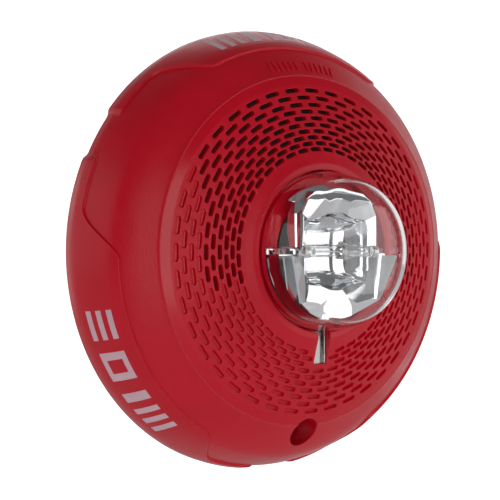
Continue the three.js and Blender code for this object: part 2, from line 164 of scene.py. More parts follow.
def box(x0, x1, d0, d1, z0, z1):
    pts = [(x, d, z) for x in (x0, x1) for d in (d0, d1) for z in (z0, z1)]
    return make("box", pts, [(0, 1, 3, 2), (4, 6, 7, 5), (0, 4, 5, 1), (2, 3, 7, 6), (0, 2, 6, 4), (1, 5, 7, 3)])


def ring_of(r0, r1, d0, d1, x=0.0, z=0.0, seg=96, e=0.0):
    if e:
        return lathe([(r0 + e, d0), (r1 - e, d0), (r1 - e * 0.3, d0 + e * 0.3), (r1, d0 + e), (r1, d1 - e), (r1 - e * 0.3, d1 - e * 0.3), (r1 - e, d1), (r0 + e, d1), (r0 + e * 0.3, d1 - e * 0.3), (r0, d1 - e), (r0, d0 + e), (r0 + e * 0.3, d0 + e * 0.3)], seg, x, z, "ring")
    return lathe([(r0, d0), (r1, d0), (r1, d1), (r0, d1)], seg, x, z, "ring")


def slab(points, d0, d1):
    n = len(points)
    pts = [(x, d0, z) for x, z in points] + [(x, d1, z) for x, z in points]
    faces = [tuple(range(n)), tuple(range(2 * n - 1, n - 1, -1))]
    faces += [(i, (i + 1) % n, n + (i + 1) % n, n + i) for i in range(n)]
    return make("slab", pts, faces)


def turn(ob, degrees):
    """Turns about the front-to-back axis; positive takes +X towards +Z."""
    ob.data.transform(Matrix.Rotation(-math.radians(degrees), 4, "Y"))
    return ob


def smooth_path(points, n):
    """Catmull-Rom curve through points, n samples for each span."""
    p = np.asarray(points, float)
    q = np.vstack([2 * p[0] - p[1], p, 2 * p[-1] - p[-2]])
    out = []
    for i in range(1, len(q) - 2):
        for t in np.arange(n) / n:
            a, b, c, d = q[i - 1], q[i], q[i + 1], q[i + 2]
            out.append(0.5 * (2 * b + (c - a) * t + (2 * a - 5 * b + 4 * c - d) * t * t + (3 * b - a - 3 * c + d) * t ** 3))
    out.append(p[-1])
    return np.array(out)


def sweep(points, radius, sides=16, n=8, cap=True):
    """Round wire along points of (x, depth, z)."""
    c = smooth_path(points, n) if n > 1 else np.asarray(points, float)
    r = np.full(len(c), radius) if np.isscalar(radius) else np.interp(np.linspace(0, 1, len(c)), np.linspace(0, 1, len(radius)), radius)
    t = np.gradient(c, axis=0)
    t /= np.linalg.norm(t, axis=1)[:, None]
    up = np.array([0.0, 0.0, 1.0]) if abs(t[0][2]) < 0.9 else np.array([1.0, 0.0, 0.0])
    pts, faces = [], []
    for k in range(len(c)):
        u = up - t[k] * (up @ t[k])
        u /= np.linalg.norm(u)
        up = u
        v = np.cross(t[k], u)
        for i in range(sides):
            a = 2 * math.pi * i / sides
            pts.append(c[k] + r[k] * (math.cos(a) * u + math.sin(a) * v))
    for k in range(len(c) - 1):
        for i in range(sides):
            j = (i + 1) % sides
            faces.append((k * sides + i, k * sides + j, (k + 1) * sides + j, (k + 1) * sides + i))
    faces.append(tuple(range(sides - 1, -1, -1)))
    faces.append(tuple((len(c) - 1) * sides + i for i in range(sides)))
    return make("wire", pts, faces)


def bar(r, x0, x1, d, z, seg=48, e=0.25):
    """Round bar along X with rounded ends."""
    pts, rings = [(x0, d, z)], []
    prof = [(x0 + e - e * math.cos(t), r - e + e * math.sin(t)) for t in np.linspace(0, math.pi / 2, 5)]
    prof += [(x1 - e + e * math.sin(t), r - e + e * math.cos(t)) for t in np.linspace(0, math.pi / 2, 5)]
    for x, q in prof:
        rings.append(list(range(len(pts), len(pts) + seg)))
        pts += [(x, d + q * math.cos(a), z + q * math.sin(a)) for a in np.arange(seg) * 2 * math.pi / seg]
    pts.append((x1, d, z))
    faces = [(0, rings[0][i], rings[0][(i + 1) % seg]) for i in range(seg)]
    for a, b in zip(rings, rings[1:]):
        faces += [(a[i], b[i], b[(i + 1) % seg], a[(i + 1) % seg]) for i in range(seg)]
    faces += [(rings[-1][i], len(pts) - 1, rings[-1][(i + 1) % seg]) for i in range(seg)]
    return make("bar", pts, faces)


def post(r, z0, z1, x, d, seg=48, e=0.3):
    ob = bar(r, z0, z1, 0, 0, seg, e)
    ob.data.transform(Matrix.Rotation(-math.pi / 2, 4, "Y"))
    ob.data.transform(Matrix.Translation((x * MM, -d * MM, 0)))
    return ob


def merged(name, *obs):
    """Several bodies as one object, without cutting them."""
    bm = bmesh.new()
    for o in obs:
        bm.from_mesh(o.data)
        me = o.data
        bpy.data.objects.remove(o)
        bpy.data.meshes.remove(me)
    me = bpy.data.meshes.new(name)
    bm.to_mesh(me)
    bm.free()
    ob = bpy.data.objects.new(name, me)
    SCENE.collection.objects.link(ob)
    return ob


def dress(ob, name, body, mat, slot, stands_for=(), bevel=0.0, seg=2, sharp=32.0, angle=35.0):
    """Rounds the edges, sets smooth shading with true hard edges, and hands the piece to the frame."""
    if bevel:
        bm = bmesh.new()
        bm.from_mesh(ob.data)
        bmesh.ops.remove_doubles(bm, verts=bm.verts, dist=1e-6)
        bmesh.ops.dissolve_limit(bm, angle_limit=math.radians(0.6), verts=bm.verts, edges=bm.edges)
        bm.to_mesh(ob.data)
        bm.free()
        m = ob.modifiers.new("edges", "BEVEL")
        m.width, m.segments, m.limit_method = bevel * MM, seg, "ANGLE"
        m.angle_limit, m.use_clamp_overlap = math.radians(angle), True
        settle(ob)
    ob.name = name
    ob.data.name = name
    ob.data.materials.clear()
    ob.data.materials.append(mat)
    ob.data.polygons.foreach_set("use_smooth", np.ones(len(ob.data.polygons), bool))
    ob.data.set_sharp_from_angle(angle=math.radians(sharp))
    w = ob.modifiers.new("normals", "WEIGHTED_NORMAL")
    w.keep_sharp = True
    w.mode = "FACE_AREA"
    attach(ob, body)
    if stands_for:
        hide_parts(*stands_for)
    return ob


# ---- materials ----------------------------------------------------------------------
def tree(name):
    m = bpy.data.materials.new(name)
    m.use_nodes = True
    nt = m.node_tree
    nt.nodes.clear()
    out = nt.nodes.new("ShaderNodeOutputMaterial")
    return m, nt, out


def grain(nt, scale, detail=3.0, rough=0.55, kind="noise"):
    coord = nt.nodes.new("ShaderNodeTexCoord")
    n = nt.nodes.new("ShaderNodeTexNoise" if kind == "noise" else "ShaderNodeTexVoronoi")
    n.inputs["Scale"].default_value = scale
    if kind == "noise":
        n.inputs["Detail"].default_value = detail
        n.inputs["Roughness"].default_value = rough
    nt.links.new(coord.outputs["Object"], n.inputs["Vector"])
    return n.outputs["Fac"] if kind == "noise" else n.outputs["Distance"]


def ramp(nt, fac, stops):
    r = nt.nodes.new("ShaderNodeValToRGB")
    e = r.color_ramp.elements
    e[0].position, e[0].color = stops[0][0], (*stops[0][1], 1)
    e[1].position, e[1].color = stops[-1][0], (*stops[-1][1], 1)
    for p, c in stops[1:-1]:
        x = e.new(p)
        x.color = (*c, 1)
    nt.links.new(fac, r.inputs["Fac"])
    return r.outputs["Color"]


def spread(nt, fac, lo, hi, a=0.3, b=0.7):
    m = nt.nodes.new("ShaderNodeMapRange")
    m.inputs["From Min"].default_value, m.inputs["From Max"].default_value = a, b
    m.inputs["To Min"].default_value, m.inputs["To Max"].default_value = lo, hi
    nt.links.new(fac, m.inputs["Value"])
    return m.outputs["Result"]


def bump(nt, height, strength, distance):
    b = nt.nodes.new("ShaderNodeBump")
    b.inputs["Strength"].default_value = strength
    b.inputs["Distance"].default_value = distance
    nt.links.new(height, b.inputs["Height"])
    return b


def plastic(name, dark, light, rough=(0.42, 0.52), grit=1500.0, depth=0.03, strength=0.35, blotch=60.0, metallic=0.0, specular=0.5, coat=0.0, coarse=None):
    """Moulded plastic or metal: slight colour drift, a moulded or drawn grain, and uneven gloss."""
    m, nt, out = tree(name)
    p = nt.nodes.new("ShaderNodeBsdfPrincipled")
    p.inputs["Metallic"].default_value = metallic
    p.inputs["Specular IOR Level"].default_value = specular
    if coat:
        p.inputs["Coat Weight"].default_value = coat
        p.inputs["Coat Roughness"].default_value = 0.25
    nt.links.new(ramp(nt, grain(nt, blotch, 4), [(0.3, dark), (0.7, light)]), p.inputs["Base Color"])
    nt.links.new(spread(nt, grain(nt, blotch * 4, 3), *rough), p.inputs["Roughness"])
    first = bump(nt, grain(nt, grit, 2), strength, depth * MM)
    if coarse:
        second = bump(nt, grain(nt, coarse[0], 1), coarse[1], coarse[2] * MM)
        nt.links.new(first.outputs["Normal"], second.inputs["Normal"])
        first = second
    nt.links.new(first.outputs["Normal"], p.inputs["Normal"])
    nt.links.new(p.outputs["BSDF"], out.inputs["Surface"])
    return m


def clear(name, tint, ior, lamps=0.85, rough=0.0):
    """Clear moulding. Rays to the lamps pass straight through it, so that what is inside is lit."""
    m, nt, out = tree(name)
    p = nt.nodes.new("ShaderNodeBsdfPrincipled")
    p.inputs["Base Color"].default_value = (*tint, 1)
    p.inputs["Transmission Weight"].default_value = 1.0
    p.inputs["IOR"].default_value = ior
    nt.links.new(spread(nt, grain(nt, 90.0, 3), rough, rough + 0.03), p.inputs["Roughness"])
    b = bump(nt, grain(nt, 55.0, 2), 0.06, 0.05 * MM)
    nt.links.new(b.outputs["Normal"], p.inputs["Normal"])
    t = nt.nodes.new("ShaderNodeBsdfTransparent")
    t.inputs["Color"].default_value = (lamps, lamps, lamps, 1)
    path = nt.nodes.new("ShaderNodeLightPath")
    mix = nt.nodes.new("ShaderNodeMixShader")
    nt.links.new(path.outputs["Is Shadow Ray"], mix.inputs["Fac"])
    nt.links.new(p.outputs["BSDF"], mix.inputs[1])
    nt.links.new(t.outputs["BSDF"], mix.inputs[2])
    nt.links.new(mix.outputs["Shader"], out.inputs["Surface"])
    return m


MAT = {
    "red_housing": plastic("red_plastic", (0.56, 0.0008, 0.0135), (0.62, 0.0012, 0.017), (0.28, 0.37), 1250.0, 0.07, 0.75, 45.0, specular=0.36),
    "clear_lens": clear("clear_lens", (1, 1, 1), 1.49, 0.93),
    "clear_carrier": clear("clear_carrier", (0.99, 1, 1), 1.49),
    "tube_glass": clear("tube_glass", (1, 1, 1), 1.47),
    "metallised_reflector": plastic("metallised", (0.82, 0.83, 0.85), (0.86, 0.87, 0.89), (0.03, 0.07), 220.0, 0.02, 0.10, 80.0, metallic=1.0),
    "tinned_wire": plastic("tinned_wire", (0.60, 0.60, 0.60), (0.72, 0.72, 0.71), (0.22, 0.4), 900.0, 0.01, 0.3, 300.0, metallic=1.0),
    "board_laminate": plastic("laminate", (0.010, 0.10, 0.035), (0.018, 0.15, 0.055), (0.35, 0.5), 700.0, 0.02, 0.4, 160.0),
    "capacitor_sleeve": plastic("sleeve", (0.010, 0.018, 0.055), (0.02, 0.03, 0.08), (0.25, 0.35), 500.0, 0.02, 0.2, 120.0),
    "ferrite": plastic("ferrite", (0.025, 0.023, 0.022), (0.05, 0.045, 0.042), (0.55, 0.75), 1200.0, 0.04, 0.5, 200.0),
    "coil_winding": plastic("winding", (0.42, 0.20, 0.03), (0.55, 0.27, 0.05), (0.3, 0.45), 1500.0, 0.03, 0.4, 400.0),
    "chip_epoxy": plastic("epoxy", (0.012, 0.012, 0.013), (0.025, 0.025, 0.026), (0.5, 0.65), 1800.0, 0.03, 0.5, 300.0),
    "black_moulding": plastic("black_moulding", (0.012, 0.012, 0.013), (0.022, 0.022, 0.024), (0.42, 0.56), 1500.0, 0.04, 0.4, 60.0),
    "brass_disc": plastic("lacquered_brass", (0.020, 0.017, 0.014), (0.035, 0.029, 0.022), (0.35, 0.5), 900.0, 0.01, 0.3, 150.0, metallic=0.4),
    "ceramic_disc": plastic("ceramic", (0.62, 0.60, 0.54), (0.72, 0.70, 0.64), (0.45, 0.6), 900.0, 0.02, 0.3, 150.0),
    "gasket_foam": plastic("foam", (0.015, 0.015, 0.016), (0.035, 0.035, 0.036), (0.85, 0.95), 900.0, 0.12, 0.8, 250.0),
    "contact_metal": plastic("contact_metal", (0.62, 0.47, 0.20), (0.75, 0.60, 0.28), (0.2, 0.35), 1100.0, 0.01, 0.3, 250.0, metallic=1.0),
    "switch_moulding": plastic("switch_moulding", (0.015, 0.03, 0.075), (0.025, 0.045, 0.10), (0.4, 0.5), 1400.0, 0.03, 0.4, 150.0),
    "white_moulding": plastic("white_moulding", (0.72, 0.72, 0.69), (0.80, 0.80, 0.77), (0.35, 0.48), 1400.0, 0.02, 0.3, 90.0),
    "plate_moulding": plastic("plate_moulding", (0.66, 0.66, 0.63), (0.74, 0.74, 0.71), (0.45, 0.6), 1500.0, 0.05, 0.45, 40.0),
    "terminal_moulding": plastic("terminal_moulding", (0.50, 0.49, 0.44), (0.60, 0.59, 0.53), (0.4, 0.55), 1300.0, 0.03, 0.4, 90.0),
    "zinc_screw": plastic("zinc", (0.52, 0.53, 0.55), (0.68, 0.69, 0.71), (0.22, 0.42), 700.0, 0.02, 0.3, 240.0, metallic=1.0),
    "brass_insert": plastic("brass_insert", (0.58, 0.40, 0.13), (0.70, 0.50, 0.19), (0.25, 0.4), 900.0, 0.01, 0.3, 150.0, metallic=1.0),
    "washer_nylon": plastic("nylon", (0.02, 0.02, 0.021), (0.035, 0.035, 0.037), (0.45, 0.6), 1300.0, 0.03, 0.4, 150.0),
}


def maths(nt, op, *args):
    """One Math node; each argument is a number or a socket."""
    n = nt.nodes.new("ShaderNodeMath")
    n.operation = op
    for i, a in enumerate(args):
        if isinstance(a, (int, float)):
            n.inputs[i].default_value = a
        else:
            nt.links.new(a, n.inputs[i])
    return n.outputs[0]


def step_up(nt, value, a, b):
    m = nt.nodes.new("ShaderNodeMapRange")
    m.interpolation_type = "SMOOTHSTEP"
    m.inputs["From Min"].default_value, m.inputs["From Max"].default_value = a, b
    nt.links.new(value, m.inputs["Value"])
    return m.outputs["Result"]


def polish(mat):
    """The flat ring round the grille and the floors of the blind slots are moulded smooth; the rest keeps its grain."""
    nt = mat.node_tree
    p = next(n for n in nt.nodes if n.type == "BSDF_PRINCIPLED")
    b = next(n for n in nt.nodes if n.type == "BUMP")
    coord = nt.nodes.new("ShaderNodeTexCoord")
    axes = nt.nodes.new("ShaderNodeSeparateXYZ")
    nt.links.new(coord.outputs["Object"], axes.inputs[0])
    x, y, z = axes.outputs
    r = maths(nt, "SQRT", maths(nt, "ADD", maths(nt, "MULTIPLY", x, x), maths(nt, "MULTIPLY", z, z)))
    ring = maths(nt, "MULTIPLY", step_up(nt, r, 0.0626, 0.0629), maths(nt, "SUBTRACT", 1.0, step_up(nt, r, 0.0655, 0.0658)))
    ring = maths(nt, "MULTIPLY", ring, step_up(nt, maths(nt, "MULTIPLY", y, -1.0), 0.0315, 0.032))
    below = maths(nt, "ADD", maths(nt, "SUBTRACT", 0.05109, maths(nt, "MULTIPLY", r, 0.27239)), y)
    floor = maths(nt, "MULTIPLY", step_up(nt, below, 0.0007, 0.0009), maths(nt, "SUBTRACT", 1.0, step_up(nt, r, 0.0618, 0.0622)))
    smooth_part = maths(nt, "MINIMUM", maths(nt, "ADD", ring, floor), 1.0)
    mix = nt.nodes.new("ShaderNodeMix")
    nt.links.new(smooth_part, mix.inputs[0])
    nt.links.new(p.inputs["Roughness"].links[0].from_socket, mix.inputs[2])
    mix.inputs[3].default_value = 0.19
    nt.links.new(mix.outputs[0], p.inputs["Roughness"])
    nt.links.new(maths(nt, "MULTIPLY", maths(nt, "SUBTRACT", 1.0, smooth_part), b.inputs["Strength"].default_value), b.inputs["Strength"])
    return mat


MAT["red_grained"] = polish(plastic("red_grained", (0.56, 0.0008, 0.0135), (0.62, 0.0012, 0.017), (0.28, 0.37), 1250.0, 0.07, 0.75, 45.0, specular=0.36))
NODE_SLOT = {row["node"]: row["material_slot"] for row in frame["record"]["subparts"]}


# ---- front cover --------------------------------------------------------------------
DOME_R, COVER_BACK = 85.35, 1.0
FACE_R, FACE_D, RING_R, RING_D, HUB_R, HUB_D = 66.1, 32.5, 62.4, 34.1, 35.6, 41.4
BAND, NOTCH, WAIST = 0.8, 1.2, (150, 30, 270)
SLOT_RINGS = (60.4, 57.6, 54.9, 52.3, 49.75, 47.3, 44.85, 42.5, 40.25, 38.05)
HORN_X, HORN_Z, SLOT_W = 50.4, -11.2, 1.55
SCREW_Z, SCREW_BORE = -69.0, 5.6
HOUSING_SCREWS = [(62, 12), (-62, 12), (38, -51), (-38, -51)]


def bezier(p, t):
    t = t[:, None]
    a, b, c, d = (np.array(q, float) for q in p)
    return a * (1 - t) ** 3 + 3 * b * t * (1 - t) ** 2 + 3 * c * t * t * (1 - t) + d * t ** 3


_t = np.linspace(0, 1, 400)
_line = np.array([(DOME_R, COVER_BACK)]) + (np.array([(0, 4.0)]) * _t[:, None])
DOME = np.vstack([_line, bezier([(DOME_R, 5), (DOME_R, 6.6), (83.5, 13.5), (80, 20.1)], _t)[1:], bezier([(80, 20.1), (77.45, 25), (71.45, 28.45), (FACE_R, FACE_D)], _t)[1:]])
_s = np.concatenate([[0], np.cumsum(np.linalg.norm(np.diff(DOME, axis=0), axis=1))])
DOME_L = _s[-1]
_tan = np.gradient(DOME, _s, axis=0)
_tan /= np.linalg.norm(_tan, axis=1)[:, None]


def side_point(s, off):
    s = np.clip(s, 0, DOME_L)
    r, d = np.interp(s, _s, DOME[:, 0]), np.interp(s, _s, DOME[:, 1])
    tr, td = np.interp(s, _s, _tan[:, 0]), np.interp(s, _s, _tan[:, 1])
    n = np.hypot(tr, td)
    return r + td / n * off, d - tr / n * off


def smooth(a, b, x):
    t = np.clip((x - a) / (b - a), 0, 1)
    return t * t * (3 - 2 * t)


def from_waist(angle):
    return min(abs((angle - w + 540) % 360 - 180) for w in WAIST)


def band_top(angle):
    return 8.2 + 16.7 * smooth(19, 32, from_waist(angle))


def notch(angle):
    return NOTCH * (1 - smooth(5.4, 7.2, from_waist(angle)))


STATIC = [(62.4, 34.1), (57, 35.571), (52, 36.933), (47, 38.295), (42, 39.657), (38, 40.746), (36.1, 41.264), (35.6, 41.42), (35.1, 41.58),
          (33.2, 42.19), (32.85, 42.29), (32.5, 42.36), (32.1, 42.4), (30.8, 42.4), (30.5, 42.35), (30.3, 42.22), (30.22, 42.0),
          (30.12, 39.0), (30.1, 38.4), (27.2, 38.4), (27.2, 39.9), (27.0, 40.15), (26.7, 40.22), (20.9, 40.58), (20.6, 40.5), (20.5, 40.3),
          (20.5, 38.4), (26.4, 38.4), (26.4, 36.4), (31.7, 36.4), (31.7, 39.1), (36, 39.1), (45, 36.535), (54, 33.97), (61.9, 31.72), (64.7, 30.3),
          (68.6, 27.7), (72.2, 24.9), (75.3, 22.0), (77.9, 18.9), (80.0, 15.0), (81.7, 11), (82.7, 8.0), (83.2, 5), (83.2, 3), (83.25, 1.35), (83.5, 1.08), (83.85, 1.0)]


def side_rows(angle):
    top, proud = band_top(angle), BAND - notch(angle)
    rows = []
    for t in np.linspace(0, math.pi / 2, 5):  # the rounded foot of the rim
        r, d = side_point(0.65 * (1 - math.cos(t)), 0)
        rows.append((DOME_R + proud - 0.65 + 0.65 * math.sin(t), COVER_BACK + 0.65 * (1 - math.cos(t))))
    for s in np.linspace(1.2, top - 0.34, 14):
        rows.append(side_point(s, proud))
    for ds, k in ((-0.16, 1.06), (-0.03, 1.0), (0.06, 0.82), (0.13, 0.45), (0.2, 0.12), (0.32, -0.06)):
        rows.append(side_point(top + ds, proud * k))
    for u in np.linspace(0, 1, 34)[1:]:
        rows.append(side_point(top + 0.4 + (DOME_L - 0.45 - top - 0.4) * u, 0))
    rows.append((FACE_R + 0.16, FACE_D + 0.05))
    rows.append((FACE_R - 0.04, FACE_D + 0.09))
    rows.append((FACE_R - 0.24, FACE_D + 0.05))
    rows.append((FACE_R - 0.42, FACE_D + 0.18))
    rows.append((RING_R + 0.5, RING_D - 0.21))
    return rows


def cover_shell(columns=480):
    pts, n = [], None
    for i in range(columns):
        a = 360 * i / columns
        c, s = math.cos(math.radians(a)), math.sin(math.radians(a))
        rows = side_rows(a) + STATIC
        n = len(rows)
        pts += [(r * c, d, r * s) for r, d in rows]
    faces = []
    for i in range(columns):
        a, b = i * n, ((i + 1) % columns) * n
        faces += [(a + j, a + (j + 1) % n, b + (j + 1) % n, b + j) for j in range(n)]
    return make("cover", pts, faces)


_surf = np.array([p for p in side_rows(200)][12:] + STATIC[:10])
_surf = _surf[np.argsort(_surf[:, 0])]


def surface(x, z):
    """Depth of the cover's front face at a place near the grille or the screw bore."""
    return np.interp(np.hypot(x, z), _surf[:, 0], _surf[:, 1])


def slot_points(r, angle, length, grow, depth_off, flat=None, n=7):
    """One closed loop round a slot, following the face at a set height above it."""
    c, s = math.cos(math.radians(angle)), math.sin(math.radians(angle))
    h, l = SLOT_W / 2 + grow, length / 2 - SLOT_W / 2
    loop = [(h * math.cos(t), l + h * math.sin(t)) for t in np.linspace(0, math.pi, n)]
    loop += [(h * math.cos(t), -l + h * math.sin(t)) for t in np.linspace(math.pi, 2 * math.pi, n)]
    out = []
    for u, v in loop:
        x, z = (r + u) * c - v * s, (r + u) * s + v * c
        out.append((x, surface(x, z) + depth_off if flat is None else flat, z))
    return out


def stacked(loops, pts, faces):
    """Adds a closed body made of loops with the same number of points."""
    k, base = len(loops[0]), len(pts)
    for loop in loops:
        pts += loop
    for a in range(len(loops) - 1):
        for i in range(k):
            j = (i + 1) % k
            faces.append((base + a * k + i, base + a * k + j, base + (a + 1) * k + j, base + (a + 1) * k + i))
    faces.append(tuple(base + i for i in range(k)))
    faces.append(tuple(base + (len(loops) - 1) * k + i for i in range(k - 1, -1, -1)))


OPEN = ((0.5, 0.62), (0.0, 0.17), (-0.05, 0.08), (-0.13, 0.02), (-0.25, 0.0), (-4.6, 0.0))
BLIND = ((0.5, 0.62), (0.0, 0.17), (-0.05, 0.08), (-0.13, 0.02), (-0.25, 0.0), (-0.95, -0.04), (-1.1, -0.14), (-1.16, -0.34))


def grille_cutters():
    pts, faces = [], []
    for row, r in enumerate(SLOT_RINGS):
        length = 4.9 + (6.4 - 4.9) * (r - 38) / 22.4
        for k in range(40):
            a = 9.0 * (k + (0.5 if row % 2 else 0))
            x, z = r * math.cos(math.radians(a)), r * math.sin(math.radians(a))
            through = abs(x) < HORN_X and z > HORN_Z
            if not through and z < 0 and abs(x) < 6.2 and r < 43.6:
                continue  # the window is here
            stacked([slot_points(r, a, length, g, o) for o, g in (OPEN if through else BLIND)], pts, faces)
    return make("cutters", pts, faces)


def bore_cutter():
    """The screw bore, with a rounded mouth that follows the domed face."""
    n = 96
    loops = []
    for off, grow in ((6.0, 6.5), (0.5, 0.85), (0.0, 0.42), (-0.07, 0.22), (-0.2, 0.07), (-0.42, 0.0)):
        loop = []
        for i in range(n):
            a = 2 * math.pi * i / n
            x, z = (SCREW_BORE + min(grow, 0.85)) * math.cos(a), SCREW_Z + (SCREW_BORE + min(grow, 0.85)) * math.sin(a)
            loop.append((x, 40.0 if off > 1 else surface(x, z) + off, z))
        loops.append(loop)
    loops.append([(SCREW_BORE * math.cos(2 * math.pi * i / n), 16.3, SCREW_Z + SCREW_BORE * math.sin(2 * math.pi * i / n)) for i in range(n)])
    pts, faces = [], []
    stacked(loops, pts, faces)
    return make("bore", pts, faces)


cover = cover_shell()
ring = [(7.4 * math.cos(t), max(SCREW_Z + 7.4 * math.sin(t), -76.6)) for t in np.arange(96) * 2 * math.pi / 96]
pts, faces = [], []
stacked([[(x, 14.3, z) for x, z in ring], [(x, surface(x, z) - 1.4, z) for x, z in ring]], pts, faces)
join(cover, make("well", pts, faces))
for x, z in HOUSING_SCREWS:
    join(cover, rod(3.2, 14.4, 30, x, z, 48))
for x in (-12, 12):
    join(cover, box(x - 4, x + 4, 1.6, 3.3, 78.4, 84.2))
cut(cover, bore_cutter(), rod(2.3, 13, 18, 0, SCREW_Z, 48))
for x, z in HOUSING_SCREWS:
    cut(cover, rod(1.45, 13, 24, x, z, 32))
cut(cover, box(-2.9, 2.9, 35, 46, -42.3, -28))
for a in (90, 210, 330):
    cut(cover, turn(box(27.5, 30.2, 35, 39, -2.8, 2.8), a))
cut(cover, grille_cutters())
for v in cover.data.vertices:  # the bottom edge stays inside the solids' box
    v.co.z = max(v.co.z, -84.95 * MM)
dress(cover, "cover_shell", "head", MAT["red_grained"], "red_housing", ["front_cover"], sharp=38.0)


# Dark maroon sheet behind the sound slots, on the inside of the cone, with a notch for the level window: its colour is
# painted shade for the dark hollow behind the slots.
MAT["slot_painted_shade"] = plastic("slot_painted_shade", (0.014, 0.003, 0.003), (0.030, 0.006, 0.006), (0.85, 0.95), 2500.0, 0.1, 0.8, 300.0)
dark_sheet = [(37.0, 38.55), (45, 36.25), (54, 33.68), (61.0, 31.68), (61.0, 31.43), (54, 33.43), (45, 36.0), (37.0, 38.3)]
dress(cut(lathe(dark_sheet, 160, name="dark_sheet"), box(-4.2, 4.2, 30, 46, -44.8, -28)), "slot_painted_shade", "head", MAT["slot_painted_shade"], "gasket_foam")

# A plain row of small raised bars where the face carries a moulded name.
pts, faces = [], []
for k in range(13):
    if k == 6:
        continue
    a0 = 103.2 - 2.02 * k
    loops = []
    for off, g in ((-0.5, 0.0), (0.28, 0.0), (0.4, -0.1)):
        loop = []
        for u, v in ((-1, -1), (1, -1), (1, 1), (-1, 1)):
            a = a0 + u * (0.5 + g * 0.4) + v * (0.12 if k % 2 else -0.12)
            r = 70.0 + v * (1.75 + g)
            i = np.argmin(np.abs(DOME[400:, 0] - r)) + 400
            n = np.array([_tan[i - 1][1], -_tan[i - 1][0]])
            loop.append(((r + n[0] * off) * math.cos(math.radians(a)), DOME[i, 1] + n[1] * off, (r + n[0] * off) * math.sin(math.radians(a))))
        loops.append(loop)
    stacked(loops, pts, faces)
dress(make("raised", pts, faces), "raised_row", "head", MAT["red_housing"], "red_housing", bevel=0.08)


# ---- marks on the three label panels --------------------------------------------------
# Four plain blocks where each panel carries its printed word: three bars, a frame, one bar, three bars.
def grid_tile(a0, a1, s0, s1, pts, faces, lift=0.07, step=0.5):
    """A raised rectangular tile that follows the dome, as one closed grid."""
    na, ns = max(2, int(abs(a1 - a0) / 0.45)), max(2, int(abs(s1 - s0) / 0.7))
    e = 0.05
    layers = []
    for off in (BAND - 0.15, BAND + lift):
        base = len(pts)
        layers.append(base)
        for i in range(na + 1):
            for j in range(ns + 1):
                a, s = a0 + (a1 - a0) * i / na, s0 + (s1 - s0) * j / ns
                r, d = side_point(s, off)
                pts.append((r * math.cos(math.radians(a)), d, r * math.sin(math.radians(a))))
    idx = lambda layer, i, j: layers[layer] + i * (ns + 1) + j
    for layer in (0, 1):
        for i in range(na):
            for j in range(ns):
                faces.append((idx(layer, i, j), idx(layer, i + 1, j), idx(layer, i + 1, j + 1), idx(layer, i, j + 1)))
    for i in range(na):
        for j in (0, ns):
            faces.append((idx(0, i, j), idx(0, i + 1, j), idx(1, i + 1, j), idx(1, i, j)))
    for j in range(ns):
        for i in (0, na):
            faces.append((idx(0, i, j), idx(0, i, j + 1), idx(1, i, j + 1), idx(1, i, j)))


MARKS = ((-15.6, -8.0), (-4.6, 3.4), (7.2, 10.4), (12.6, 21.2))


def panel_marks(centre, flip, pts, faces):
    S0, S1 = 8.4, 19.8
    tile = lambda a0, a1, s0, s1: grid_tile(centre + flip * a0, centre + flip * a1, s0, s1, pts, faces)
    a0, a1 = MARKS[0]
    h = (S1 - S0) / 5
    for k in (0, 2, 4):
        tile(a0, a1, S0 + h * k, S0 + h * (k + 1))
    a0, a1 = MARKS[1]
    w = (a1 - a0) * 0.26
    tile(a0, a0 + w, S0, S1)
    tile(a1 - w, a1, S0, S1)
    tile(a0 + w, a1 - w, S0, S0 + h * 0.95)
    tile(a0 + w, a1 - w, S1 - h * 0.95, S1)
    a0, a1 = MARKS[2]
    tile(a0 + 0.2, a1 - 0.2, S0, S1)
    a0, a1 = MARKS[3]
    w = (a1 - a0) * 0.2
    for k in (0, 2, 4):
        tile(a0 + w * k, a0 + w * (k + 1), S0, S1)


pts, faces = [], []
for centre, flip in ((91.5, 1), (210, 1), (330, 1)):
    panel_marks(centre, flip, pts, faces)
MAT["mark_print"] = plastic("mark_print", (0.66, 0.42, 0.48), (0.74, 0.48, 0.54), (0.45, 0.6), 1500.0, 0.03, 0.35, 80.0)
dress(make("marks", pts, faces), "panel_marks", "head", MAT["mark_print"], "white_moulding")


# ---- lens ---------------------------------------------------------------------------
outer = smooth_path([(30, 41), (29.6, 44), (28.9, 48.5), (27.9, 53), (26.7, 57), (25, 60), (21.8, 62.3), (16, 64), (8.5, 64.8), (0, 65)], 8)
inner = smooth_path([(0, 63.9), (8.3, 63.7), (15.5, 62.95), (20.9, 61.4), (24.1, 59.25), (25.7, 56.4), (26.9, 52.7), (27.95, 48.3), (28.75, 44), (29.1, 41)], 8)
outer[-1][0] = 0
inner[0][0] = 0
prof = [tuple(p) for p in inner] + [(29.1, 38.9), (29.2, 38.8), (29.75, 38.8), (29.9, 38.95)] + [tuple(p) for p in outer]
lens = lathe(prof, 192)
join(lens, box(-2.55, 2.55, 38.7, 39.5, -41.9, -28.9), box(-2.55, 2.55, 38.7, 40.5, -29.6, -28.9))
for a in (90, 210, 330):
    join(lens, turn(box(28.1, 29.6, 34.6, 39.2, -2.4, 2.4), a), turn(box(28.1, 30.8, 34.6, 35.9, -2.4, 2.4), a))
dress(lens, "lens_dome", "head", MAT["clear_lens"], "clear_lens", ["lens"], sharp=40.0)


# ---- reflector ------------------------------------------------------------------------
def mirror_x(v):
    return (-v[0], v[1], v[2])


def arc(r, a0, a1, n, d=None):
    return [(r * math.cos(math.radians(a)), r * math.sin(math.radians(a))) for a in np.linspace(a0, a1, n + 1)]


